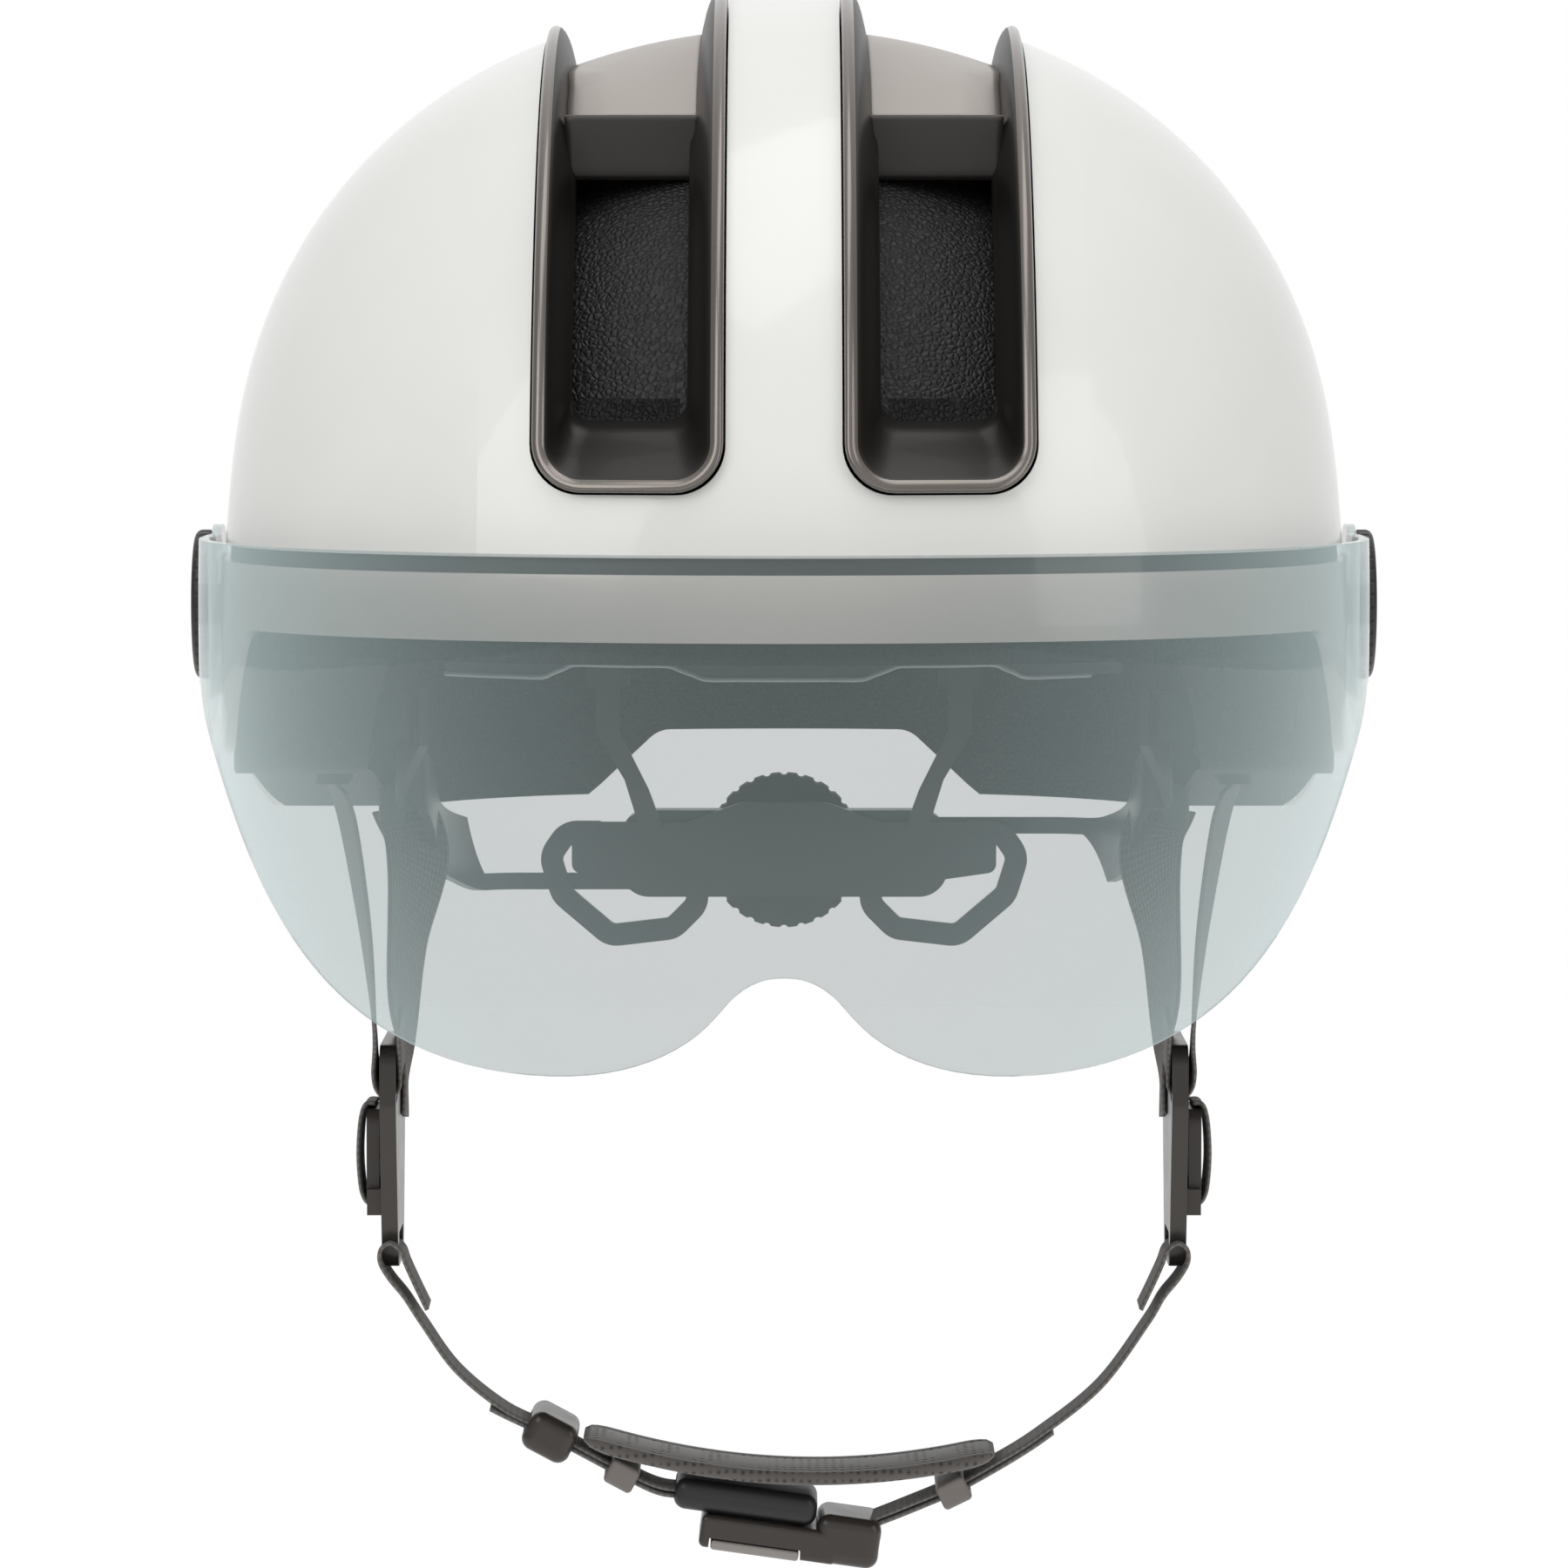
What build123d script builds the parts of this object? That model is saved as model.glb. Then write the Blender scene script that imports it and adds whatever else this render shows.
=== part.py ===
"""Urban bicycle helmet with a clear flip visor, a dial retention system and chin straps.

The wearer looks along -Y, +Z is up, and the origin is the middle of the head opening on the
visor's pivot axis. Left is the wearer's left, +X.
"""
import os
from math import cos, pi, radians, sin

from build123d import *

os.makedirs("parts", exist_ok=True)

# ---- Driving dimensions, millimetres ------------------------------------------------------

# Outer surface: a profile of tangent arcs turned about a cross axis below the visor's pivots
DOME_AXIS_Z = -17.0
SIDE_RADIUS = 450.0
SIDE_ANGLE = 6.4
SHOULDER_RADIUS = 91.0
CROWN_ANGLE = 63.9
CROWN_RADIUS = 125.0

# Depths below the outer surface
SHELL_THICKNESS = 2.0
SEAM_DEPTH = 1.1
LINER_DEPTH = 2.2
CAVITY_DEPTH = 26.0

# Rims: height of each lower edge at the brow, the sides and the back
SEAM_Z = 13.0
SEAM_HEIGHT = 3.0
SEAM_BACK_Z = -14.0
BROW_Z = -2.0
TEMPLE_Z = -26.0
NAPE_Z = -43.0
LINER_DROP = 4.0
CUT_REACH = 170.0

# Vents: two channels that run over the crown, one each side of the spine
VENT_X = 28.0
VENT_WIDTH = 34.4
VENT_FRONT_Z = 24.5
VENT_BACK_Z = 40.0
VENT_CORNER = 9.0
VENT_GAP = 0.4
LIP_PROUD = 2.2
LIP_WIDTH = 2.6
FUNNEL_DEPTH = 11.0
FUNNEL_FLOOR = 2.5
THROAT_WIDTH = 21.4
THROAT_CORNER = 4.0
CHANNEL_DEPTH = 18.0
AIR_SLOT_HEIGHT = 10.0
BRIDGE_DEPTH = 8.5
BRIDGE_THICKNESS = 2.4
BRIDGE_FRONT_Y = -62.0
APRON_Z = 82.5
BRIDGE_BACK_Y = 46.0

# Visor: a lens turned about the pivot axis, so that it clears the dome all the way up
LENS_HALF_WIDTH = 110.6
LENS_REACH = 148.3
LENS_THICKNESS = 1.8
LENS_TOP_Z = 14.0
EAR_RADIUS = 15.6
NOSE_Z = -61.3
LENS_LOWER_EDGE = [
    (0, NOSE_Z),
    (13.5, -70.2),
    (27, -78.4),
    (44, -80.8),
    (62, -78.4),
    (80, -69.4),
    (96.7, -48),
    (106.2, -25),
    (109.4, -13),
]
KNOB_RADIUS = 14.5
KNOB_X = 110.8
KNOB_THICKNESS = 3.4
KNOB_NOTCHES = 36
SHOULDER_BORE = 8.0
SCREW_DIAMETER = 5.0
RUNNING_GAP = 0.06
INSERT_RADIUS = 8.0
INSERT_X = 92.0
INSERT_FACE_X = 107.6
WASHER_RADIUS = 10.0

# Retention system at the nape
DIAL_Z = -55.6
CRADLE_Y = 98.0
CRADLE_THICKNESS = 2.0
CRADLE_HALF_WIDTH = 44.0
CRADLE_HEIGHT = 15.4
RACK_Y = 101.8
ARM_THICKNESS = 1.8
RACK_HEIGHT = 3.4
RACK_CLEARANCE = 4.1
RACK_END_X = 54.0
PINION_PITCH_RADIUS = 3.5
PINION_TEETH = 10
RACK_PITCH = 2 * pi * PINION_PITCH_RADIUS / PINION_TEETH
TOOTH_WIDTH = 0.7
TOOTH_HEIGHT = 0.95
HOUSING_DEPTH = 8.0
DIAL_RADIUS = 16.0
DIAL_THICKNESS = 8.0
DIAL_NOTCHES = 28
DIAL_DISH = 1.5
CRADLE_TRAVEL = 12.0
STUD_RADIUS = 1.3
STUD_Z = -14.0
YOKE_X = 36.5
YOKE_BACK_Y = 97.3
YOKE_THICKNESS = 1.8
YOKE_TOP_Z = STUD_Z + CRADLE_TRAVEL + 4.0
YOKE_ANCHOR_Y = 99.0
YOKE_PLATE = (9.0, 2.2, 14.0)
YOKE_PEG = (5.0, 9.0, 8.0)
TEMPLE_Y = -23.0
TEMPLE_GUIDE_Z = -20.5

# Headband and comfort pads
HEADBAND_THICKNESS = 1.2
PAD_THICKNESS = 5.5
HOOK_RADIUS = 6.0

# Webbing and what hangs on it
WEBBING_WIDTH = 15.0
WEBBING_THICKNESS = 1.4
STRAP_FLOOR_Z = -88.0
DIVIDER_X = 76.6
DIVIDER_Y = 4.0
DIVIDER_Z = -107.0
DIVIDER_THICKNESS = 3.2
HINGE_X = DIVIDER_X + 3.4
HINGE_Y = DIVIDER_Y + 1.0
HINGE_Z = DIVIDER_Z - 9.0
PIN_RADIUS = 0.8
LEVER_HEIGHT = 19.0
LEVER_HEEL = 1.2
CHIN_Y = -2.0
CHIN_PAD_WIDTH = 22.0
STRAP_BEND = 14.0
BUCKLE_TILT = 8.0
ANCHOR_SIZE = (6.0, 19.0, 8.0)
FRONT_ANCHOR = (86.0, -24.0, TEMPLE_Z - 3.0)
REAR_ANCHOR = (78.0, 50.0, -41.5)


def save(part, name):
    """Write one finished piece under its own name."""
    part.label = name
    export_step(part, f"parts/{name}.step")


def save_pair(part, name):
    """Write a left piece and its mirror image."""
    with BuildPart() as opposite:
        mirror(part, about=Plane.YZ)
    save(part, f"{name}_left")
    save(opposite.part, f"{name}_right")


def side_block(outline, low_x, high_x, corner=0):
    """Solid with a side-view outline of (y, z) points between two cross positions."""
    with BuildPart() as body:
        with BuildSketch(Plane.YZ.offset(low_x)) as side:
            with BuildLine():
                Polyline(*outline, close=True)
            make_face()
            if corner:
                fillet(side.vertices(), corner)
        extrude(amount=high_x - low_x)
    return body.part


def front_block(outline, low_y, high_y, corner=0):
    """Solid with a front-view outline of (x, z) points between two positions along Y."""
    with BuildPart() as body:
        with BuildSketch(Plane.XZ.offset(-low_y)) as front:
            with BuildLine():
                Polyline(*outline, close=True)
            make_face()
            if corner:
                fillet(front.vertices(), corner)
        extrude(amount=low_y - high_y)
    return body.part


# ---- The dome and its cutters ----------------------------------------------------------------


def dome(depth):
    """Solid whose surface lies depth inside the helmet's outer surface, whole below the rim too."""
    side, crown = radians(SIDE_ANGLE), radians(CROWN_ANGLE)
    shoulder_step = SIDE_RADIUS - SHOULDER_RADIUS
    crown_step = CROWN_RADIUS - SHOULDER_RADIUS
    side_centre = (shoulder_step * -cos(side) + crown_step * cos(crown), 0)
    shoulder_centre = (crown_step * cos(crown), shoulder_step * sin(side))
    crown_centre = (0, shoulder_centre[1] - crown_step * sin(crown))

    def on_arc(centre, radius, angle):
        return centre[0] + (radius - depth) * cos(angle), centre[1] + (radius - depth) * sin(angle)

    pole = on_arc(side_centre, SIDE_RADIUS, 0)
    side_mid = on_arc(side_centre, SIDE_RADIUS, side / 2)
    side_end = on_arc(side_centre, SIDE_RADIUS, side)
    shoulder_mid = on_arc(shoulder_centre, SHOULDER_RADIUS, (side + crown) / 2)
    shoulder_end = on_arc(shoulder_centre, SHOULDER_RADIUS, crown)
    crown_top = on_arc(crown_centre, CROWN_RADIUS, pi / 2)
    with BuildLine() as half:
        ThreePointArc(pole, side_mid, side_end)
        ThreePointArc(side_end, shoulder_mid, shoulder_end)
    with BuildPart() as body:
        with BuildSketch(Plane.XY):
            with BuildLine():
                add(half.line)
                mirror(half.line, about=Plane.YZ)
                ThreePointArc(shoulder_end, crown_top, (-shoulder_end[0], shoulder_end[1]))
                Line(pole, (-pole[0], 0))
            make_face()
        revolve(axis=Axis.X)
    return body.part.moved(Location((0, 0, DOME_AXIS_Z)))


def layer(outer_depth, inner_depth):
    """Skin of the dome between two depths."""
    with BuildPart() as body:
        add(dome(outer_depth))
        add(dome(inner_depth), mode=Mode.SUBTRACT)
    return body.part


def below_seam(offset):
    """Everything lower than the edge of the upper shell, moved by offset."""
    edge = [(-CUT_REACH, SEAM_Z), (30, SEAM_Z), (84, SEAM_BACK_Z), (CUT_REACH, SEAM_BACK_Z)]
    with BuildPart() as body:
        with BuildSketch(Plane.YZ.offset(-CUT_REACH)) as side:
            with BuildLine():
                Polyline(
                    *[(y, z + offset) for y, z in edge],
                    (CUT_REACH, -CUT_REACH),
                    (-CUT_REACH, -CUT_REACH),
                    close=True,
                )
            make_face()
            fillet([v for v in side.vertices() if abs(v.X) < CUT_REACH - 1], 40)
        extrude(amount=2 * CUT_REACH)
    return body.part


def below_rim(drop, arch_lift):
    """Everything lower than the rim: brow, temple lobes, sides and the arch at the nape."""
    rim = [
        (-CUT_REACH, BROW_Z - drop),
        (-70, BROW_Z - drop),
        (-54, TEMPLE_Z - drop),
        (-12, TEMPLE_Z - drop),
        (24, -30 - drop),
        (58, NAPE_Z),
        (CUT_REACH, NAPE_Z),
    ]
    arch = [(-54, NAPE_Z - 9), (-38, -39), (-26, -28), (26, -28), (38, -39), (54, NAPE_Z - 9)]
    with BuildPart() as body:
        with BuildSketch(Plane.YZ.offset(-CUT_REACH)) as side:
            with BuildLine():
                Polyline(*rim, (CUT_REACH, -CUT_REACH), (-CUT_REACH, -CUT_REACH), close=True)
            make_face()
            fillet([v for v in side.vertices() if abs(v.X) < CUT_REACH - 1], 9)
        extrude(amount=2 * CUT_REACH)
        add(front_block([(x, z + arch_lift) for x, z in arch], 30, CUT_REACH, 6))
    return body.part


def vent_prism(width, end_inset, corner):
    """Left vent's outline swept through the dome, with rounded front and back ends."""
    with BuildPart() as body:
        for plane, end_z in ((Plane.XZ, VENT_FRONT_Z), (Plane.XZ.offset(-CUT_REACH), VENT_BACK_Z)):
            foot = end_z + end_inset
            with BuildSketch(plane):
                with Locations((VENT_X, (foot + CUT_REACH) / 2)):
                    RectangleRounded(width, CUT_REACH - foot, corner)
            extrude(amount=CUT_REACH)
    return body.part


throat_inset = (VENT_WIDTH - THROAT_WIDTH) / 2
vent_hole = vent_prism(VENT_WIDTH + 2 * VENT_GAP, -VENT_GAP, VENT_CORNER)
vent_outline = vent_prism(VENT_WIDTH, 0, VENT_CORNER)
vent_wall_inner = vent_prism(VENT_WIDTH - 2 * LIP_WIDTH, LIP_WIDTH, VENT_CORNER - 2)
vent_throat = vent_prism(THROAT_WIDTH, throat_inset, THROAT_CORNER)

# ---- Shells, seam strip and liner ---------------------------------------------------------------

with BuildPart() as outer_shell:
    add(layer(0, SHELL_THICKNESS))
    add(below_seam(0), mode=Mode.SUBTRACT)
    add(vent_hole, mode=Mode.SUBTRACT)
    add(vent_hole.mirror(Plane.YZ), mode=Mode.SUBTRACT)
save(outer_shell.part, "outer_shell")

with BuildPart() as seam_strip:
    add(layer(SEAM_DEPTH, SHELL_THICKNESS))
    add(below_seam(0), mode=Mode.INTERSECT)
    add(below_seam(-SEAM_HEIGHT), mode=Mode.SUBTRACT)
save(seam_strip.part, "seam_strip")

with BuildPart() as lower_shell:
    add(layer(0, SHELL_THICKNESS))
    add(below_seam(-SEAM_HEIGHT), mode=Mode.INTERSECT)
    add(below_rim(0, 0), mode=Mode.SUBTRACT)
    with Locations(Plane.YZ):
        Cylinder(INSERT_RADIUS + 0.1, 2 * CUT_REACH, mode=Mode.SUBTRACT)
save(lower_shell.part, "lower_shell")

with BuildPart() as vent_channel:
    add(vent_hole)
    add(dome(FUNNEL_DEPTH + 0.2), mode=Mode.SUBTRACT)

with BuildPart() as throat_channel:
    add(vent_throat)
    add(dome(CHANNEL_DEPTH), mode=Mode.SUBTRACT)

slot_z = VENT_FRONT_Z + throat_inset + AIR_SLOT_HEIGHT / 2
slot_lift = VENT_BACK_Z - VENT_FRONT_Z
with BuildPart() as eps_liner:
    add(layer(LINER_DEPTH, CAVITY_DEPTH))
    add(below_rim(LINER_DROP, -2), mode=Mode.SUBTRACT)
    for cutter in (vent_channel.part, throat_channel.part):
        add(cutter, mode=Mode.SUBTRACT)
        add(cutter.mirror(Plane.YZ), mode=Mode.SUBTRACT)
    for x in (-VENT_X, VENT_X):
        with Locations((x, -CUT_REACH / 2, slot_z), (x, CUT_REACH / 2, slot_z + slot_lift)):
            Box(THROAT_WIDTH - 3, CUT_REACH, AIR_SLOT_HEIGHT, mode=Mode.SUBTRACT)
        pocket_x = (INSERT_X + CUT_REACH) / 2 - 0.1
        with Locations(Plane.YZ.offset(pocket_x if x > 0 else -pocket_x)):
            Cylinder(INSERT_RADIUS + 0.1, CUT_REACH - INSERT_X, mode=Mode.SUBTRACT)
    for x, y, z in (FRONT_ANCHOR, REAR_ANCHOR):
        with Locations((x, y, z), (-x, y, z)):
            Box(*[size + 0.2 for size in ANCHOR_SIZE], mode=Mode.SUBTRACT)
    with Locations((YOKE_X, YOKE_ANCHOR_Y, STUD_Z), (-YOKE_X, YOKE_ANCHOR_Y, STUD_Z)):
        Box(*[size + 0.2 for size in YOKE_PLATE], mode=Mode.SUBTRACT)
        with Locations((0, YOKE_PEG[1] / 2, 0)):
            Box(*[size + 0.2 for size in YOKE_PEG], mode=Mode.SUBTRACT)
save(eps_liner.part, "eps_liner")

# ---- Vent frames and bridges ----------------------------------------------------------------------

with BuildPart() as frame_wall:
    add(vent_outline)
    add(vent_wall_inner, mode=Mode.SUBTRACT)
    add(layer(-LIP_PROUD, FUNNEL_DEPTH), mode=Mode.INTERSECT)

with BuildPart() as frame_floor:
    add(vent_outline)
    add(vent_throat, mode=Mode.SUBTRACT)
    add(layer(FUNNEL_DEPTH - FUNNEL_FLOOR, FUNNEL_DEPTH), mode=Mode.INTERSECT)

with BuildPart() as vent_frame:
    add(frame_wall.part)
    add(frame_floor.part)
    frame_span = side_block([(-CUT_REACH, 0), (CUT_REACH, 0), (CUT_REACH, 130), (-CUT_REACH, 130)], 0, 60)
    add(frame_span, mode=Mode.INTERSECT)
save_pair(vent_frame.part, "vent_frame")

bridge_sides = VENT_WIDTH / 2 - LIP_WIDTH - 0.1
with BuildPart() as vent_bridge:
    add(layer(BRIDGE_DEPTH - BRIDGE_THICKNESS, BRIDGE_DEPTH - 0.1))
    bridge_span = [(BRIDGE_FRONT_Y, 40), (BRIDGE_BACK_Y, 40), (BRIDGE_BACK_Y, 130), (BRIDGE_FRONT_Y, 130)]
    add(side_block(bridge_span, VENT_X - bridge_sides, VENT_X + bridge_sides), mode=Mode.INTERSECT)
with BuildPart() as bridge_apron:
    add(layer(BRIDGE_DEPTH - 0.1, CHANNEL_DEPTH - 0.5))
    apron_span = [
        (BRIDGE_FRONT_Y, APRON_Z),
        (BRIDGE_FRONT_Y + 2, APRON_Z),
        (BRIDGE_FRONT_Y + 2, 130),
        (BRIDGE_FRONT_Y, 130),
    ]
    throat_half = THROAT_WIDTH / 2 - 0.1
    add(side_block(apron_span, VENT_X - throat_half, VENT_X + throat_half), mode=Mode.INTERSECT)
with BuildPart() as bridge:
    add(vent_bridge.part)
    add(bridge_apron.part)
save_pair(bridge.part, "vent_bridge")

# ---- Visor, its pivots and knobs ------------------------------------------------------------------


def lens_body(depth):
    """Solid of revolution about the pivot axis inside the lens's surface."""
    half_width = LENS_HALF_WIDTH - depth
    ring = LENS_REACH - LENS_HALF_WIDTH
    with BuildPart() as body:
        with BuildSketch(Plane.XY):
            with BuildLine():
                ThreePointArc((half_width, ring), (0, ring + half_width), (-half_width, ring))
                Polyline((-half_width, ring), (-half_width, 0), (half_width, 0), (half_width, ring))
            make_face()
        revolve(axis=Axis.X)
    return body.part


lens_corner = (LENS_HALF_WIDTH + 5, LENS_LOWER_EDGE[-1][1] + 2)
with BuildLine() as left_edge:
    Spline(*LENS_LOWER_EDGE, tangents=[(1, 0), (0.1, 1)])
    Polyline(LENS_LOWER_EDGE[-1], lens_corner, (lens_corner[0], LENS_TOP_Z), (0, LENS_TOP_Z))

with BuildPart() as lens_window:
    with BuildSketch(Plane.XZ):
        with BuildLine():
            add(left_edge.line)
            mirror(left_edge.line, about=Plane.YZ)
        make_face()
    extrude(amount=CUT_REACH)
    with Locations(Plane.YZ):
        Cylinder(EAR_RADIUS, 2 * CUT_REACH)

with BuildPart() as visor:
    add(lens_body(0))
    add(lens_body(LENS_THICKNESS), mode=Mode.SUBTRACT)
    add(lens_window.part, mode=Mode.INTERSECT)
    with Locations(Plane.YZ):
        Cylinder(SHOULDER_BORE / 2, 2 * CUT_REACH, mode=Mode.SUBTRACT)
save(visor.part, "visor")


def ring_on_pivot(outer, bore, low_x, high_x):
    """Ring round the pivot axis between two cross positions."""
    with BuildPart() as body:
        with BuildSketch(Plane.YZ.offset(low_x)):
            Circle(outer)
            if bore:
                Circle(bore, mode=Mode.SUBTRACT)
        extrude(amount=high_x - low_x)
    return body.part


lens_inner_x = LENS_HALF_WIDTH - LENS_THICKNESS
shoulder_radius = SHOULDER_BORE / 2 - RUNNING_GAP
screw_radius = SCREW_DIAMETER / 2
save_pair(ring_on_pivot(INSERT_RADIUS, screw_radius + RUNNING_GAP, INSERT_X, INSERT_FACE_X), "pivot_insert")

washer_bore = shoulder_radius + 0.1
washer = ring_on_pivot(WASHER_RADIUS, washer_bore, 108.3, lens_inner_x - 0.05)
save_pair(washer, "visor_washer")

with BuildPart() as knob:
    with BuildSketch(Plane.YZ.offset(KNOB_X)):
        Circle(KNOB_RADIUS)
    extrude(amount=KNOB_THICKNESS)
    rims = knob.edges().filter_by(GeomType.CIRCLE).sort_by(Axis.X)
    fillet(rims[-1], 1.5)
    chamfer(rims[0], 0.5)
    with BuildSketch(Plane.YZ.offset(KNOB_X + KNOB_THICKNESS)):
        with PolarLocations(KNOB_RADIUS + 0.5, KNOB_NOTCHES):
            Circle(0.8)
    extrude(amount=-KNOB_THICKNESS, mode=Mode.SUBTRACT)
with BuildPart() as visor_knob:
    add(knob.part)
    add(ring_on_pivot(shoulder_radius, 0, 107.8, KNOB_X + 0.5))
    add(ring_on_pivot(screw_radius, 0, INSERT_X + 2, 108.5))
save_pair(visor_knob.part, "visor_knob")

# ---- Rear cradle, racks and dial ------------------------------------------------------------------

cradle_top = DIAL_Z + CRADLE_HEIGHT / 2
cradle_bottom = DIAL_Z - CRADLE_HEIGHT / 2
cradle_outline = [
    (-CRADLE_HALF_WIDTH, cradle_top - 1),
    (-20, cradle_top - 1),
    (-9, cradle_top + 3),
    (9, cradle_top + 3),
    (20, cradle_top - 1),
    (CRADLE_HALF_WIDTH, cradle_top - 1),
    (CRADLE_HALF_WIDTH, cradle_bottom + 4),
    (16, cradle_bottom),
    (-16, cradle_bottom),
    (-CRADLE_HALF_WIDTH, cradle_bottom + 4),
]
nape_loop = [(38, -51), (45, -51), (48.5, -56), (46, -64), (36, -72.5), (23, -71), (18, -66), (18, -61)]
yoke_side = [
    (98, -50),
    (98, -47),
    (YOKE_BACK_Y, -40),
    (YOKE_BACK_Y, YOKE_TOP_Z),
    (YOKE_BACK_Y - YOKE_THICKNESS, YOKE_TOP_Z),
    (YOKE_BACK_Y - YOKE_THICKNESS, -41),
    (96, -48),
    (96, -50),
]
yoke_front = [
    (24, -53),
    (29, -53),
    (33, -40),
    (39, -30),
    (39, YOKE_TOP_Z),
    (34, YOKE_TOP_Z),
    (34, -30),
    (28, -42),
]
arm_end_x = 69.0

with BuildPart() as nape_loops:
    with BuildSketch(Plane.XZ.offset(-CRADLE_Y)):
        with BuildLine() as loop_path:
            FilletPolyline(*nape_loop, radius=4)
        trace(line_width=4.6)
        mirror(about=Plane.YZ)
    extrude(amount=-CRADLE_THICKNESS)

with BuildPart() as yokes:
    add(side_block(yoke_side, 10, 50))
    add(front_block(yoke_front, 60, 110), mode=Mode.INTERSECT)
    slot_height = CRADLE_TRAVEL + 2 * STUD_RADIUS + 1
    with Locations((YOKE_X, YOKE_BACK_Y, STUD_Z + CRADLE_TRAVEL / 2)):
        Box(2 * STUD_RADIUS + 0.4, 3 * YOKE_THICKNESS, slot_height, mode=Mode.SUBTRACT)
    mirror(about=Plane.YZ)

with BuildPart() as rear_cradle:
    add(front_block(cradle_outline, CRADLE_Y, CRADLE_Y + CRADLE_THICKNESS, 2))
    add(nape_loops.part)
    add(yokes.part)
save(rear_cradle.part, "rear_cradle")

housing_outline = [
    (-34, DIAL_Z - 9),
    (-34, DIAL_Z + 9),
    (34, DIAL_Z + 9),
    (34, DIAL_Z - 9),
]
housing_back_y = CRADLE_Y + CRADLE_THICKNESS + HOUSING_DEPTH
dial_y = housing_back_y + 0.6
with BuildPart() as dial_housing:
    add(front_block(housing_outline, CRADLE_Y + CRADLE_THICKNESS, housing_back_y, 6))
    rack_room = [(-60, DIAL_Z - 7.8), (-60, DIAL_Z + 7.8), (60, DIAL_Z + 7.8), (60, DIAL_Z - 7.8)]
    add(front_block(rack_room, RACK_Y - 1.3, RACK_Y + 1.3), mode=Mode.SUBTRACT)
    with Locations(Location((0, housing_back_y, DIAL_Z), (90, 0, 0))):
        Cylinder(2.2, 30, mode=Mode.SUBTRACT)
        Cylinder(5.0, 2 * HOUSING_DEPTH - 2, mode=Mode.SUBTRACT)
save(dial_housing.part, "dial_housing")

with BuildPart() as arm_plan:
    with BuildSketch(Plane.XY.offset(-80)):
        with BuildLine():
            rack_line = Line((-4, RACK_Y), (RACK_END_X, RACK_Y))
            Spline(
                rack_line @ 1,
                (67, 90),
                (70.5, 60),
                (72, 20),
                (arm_end_x, -22),
                tangents=[(1, 0), (-0.2, -1)],
            )
        trace(line_width=ARM_THICKNESS)
    extrude(amount=80)


def side_arm(sign, name):
    """Arm with its rack: the left one passes over the pinion, the right one under it."""
    low = DIAL_Z + RACK_CLEARANCE if sign > 0 else DIAL_Z - RACK_CLEARANCE - RACK_HEIGHT
    high = low + RACK_HEIGHT
    profile = [
        (-23, -15),
        (10, -26),
        (60, -42),
        (92, -47.5),
        (98, high),
        (110, high),
        (110, low),
        (98, low),
        (88, DIAL_Z - 5),
        (60, -55),
        (10, -38),
        (-23, -26),
    ]
    plan = arm_plan.part if sign > 0 else arm_plan.part.mirror(Plane.YZ)
    with BuildPart() as arm:
        add(plan)
        add(side_block(profile, -80, 80), mode=Mode.INTERSECT)
        tooth_z = low - TOOTH_HEIGHT / 2 if sign > 0 else high + TOOTH_HEIGHT / 2
        teeth = [sign * RACK_PITCH * k for k in range(-1, 9)]
        with Locations(*[(x, RACK_Y, tooth_z) for x in teeth]):
            Box(TOOTH_WIDTH, ARM_THICKNESS, TOOTH_HEIGHT + 0.04)
    save(arm.part, name)


side_arm(1, "side_arm_left")
side_arm(-1, "side_arm_right")

with BuildPart() as dial_pinion:
    with BuildSketch(Plane.XZ.offset(-(RACK_Y + 1))):
        with Locations((0, DIAL_Z)):
            Circle(PINION_PITCH_RADIUS - 0.8)
            with PolarLocations(PINION_PITCH_RADIUS - 0.5, PINION_TEETH):
                Rectangle(1.8, TOOTH_WIDTH)
            RectangleRounded(2.4, 2.4, 0.3, mode=Mode.SUBTRACT)
    extrude(amount=2.2)
save(dial_pinion.part, "dial_pinion")

with BuildPart() as dial_knob:
    with BuildSketch(Plane.XZ.offset(-dial_y)):
        with Locations((0, DIAL_Z)):
            Circle(DIAL_RADIUS)
            with PolarLocations(DIAL_RADIUS + 0.4, DIAL_NOTCHES):
                Circle(0.9, mode=Mode.SUBTRACT)
    extrude(amount=-DIAL_THICKNESS)
    with BuildSketch(Plane.XZ.offset(-dial_y - DIAL_THICKNESS)):
        with Locations((0, DIAL_Z)):
            Circle(DIAL_RADIUS - 3.5)
    extrude(amount=DIAL_DISH, mode=Mode.SUBTRACT)
    with BuildSketch(Plane.XZ.offset(-(RACK_Y - 1))):
        with Locations((0, DIAL_Z)):
            Rectangle(2.2, 2.2)
    extrude(amount=-3)
    with BuildSketch(Plane.XZ.offset(-(RACK_Y + 1.8))):
        with Locations((0, DIAL_Z)):
            Circle(1.9)
    extrude(amount=-6.5)
save(dial_knob.part, "dial_knob")

with BuildPart() as yoke_anchor:
    with Locations((YOKE_X, YOKE_ANCHOR_Y, STUD_Z)):
        Box(*YOKE_PLATE)
        with Locations((0, YOKE_PEG[1] / 2, 0)):
            Box(*YOKE_PEG)
        with Locations(Location((0, -2.6, 0), (90, 0, 0))):
            Cylinder(STUD_RADIUS, 4)
        with Locations(Location((0, -4.4, 0), (90, 0, 0))):
            Cylinder(2.4, 1)
save_pair(yoke_anchor.part, "yoke_anchor")

with BuildPart() as temple_anchor:
    with Locations((79.8, TEMPLE_Y, TEMPLE_GUIDE_Z)):
        Box(2, 12, 15)
    with Locations((75.3, TEMPLE_Y, TEMPLE_GUIDE_Z)):
        Box(7, 7, 9)
save_pair(temple_anchor.part, "temple_anchor")

# ---- Headband and pads inside the liner ----------------------------------------------------------

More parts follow.
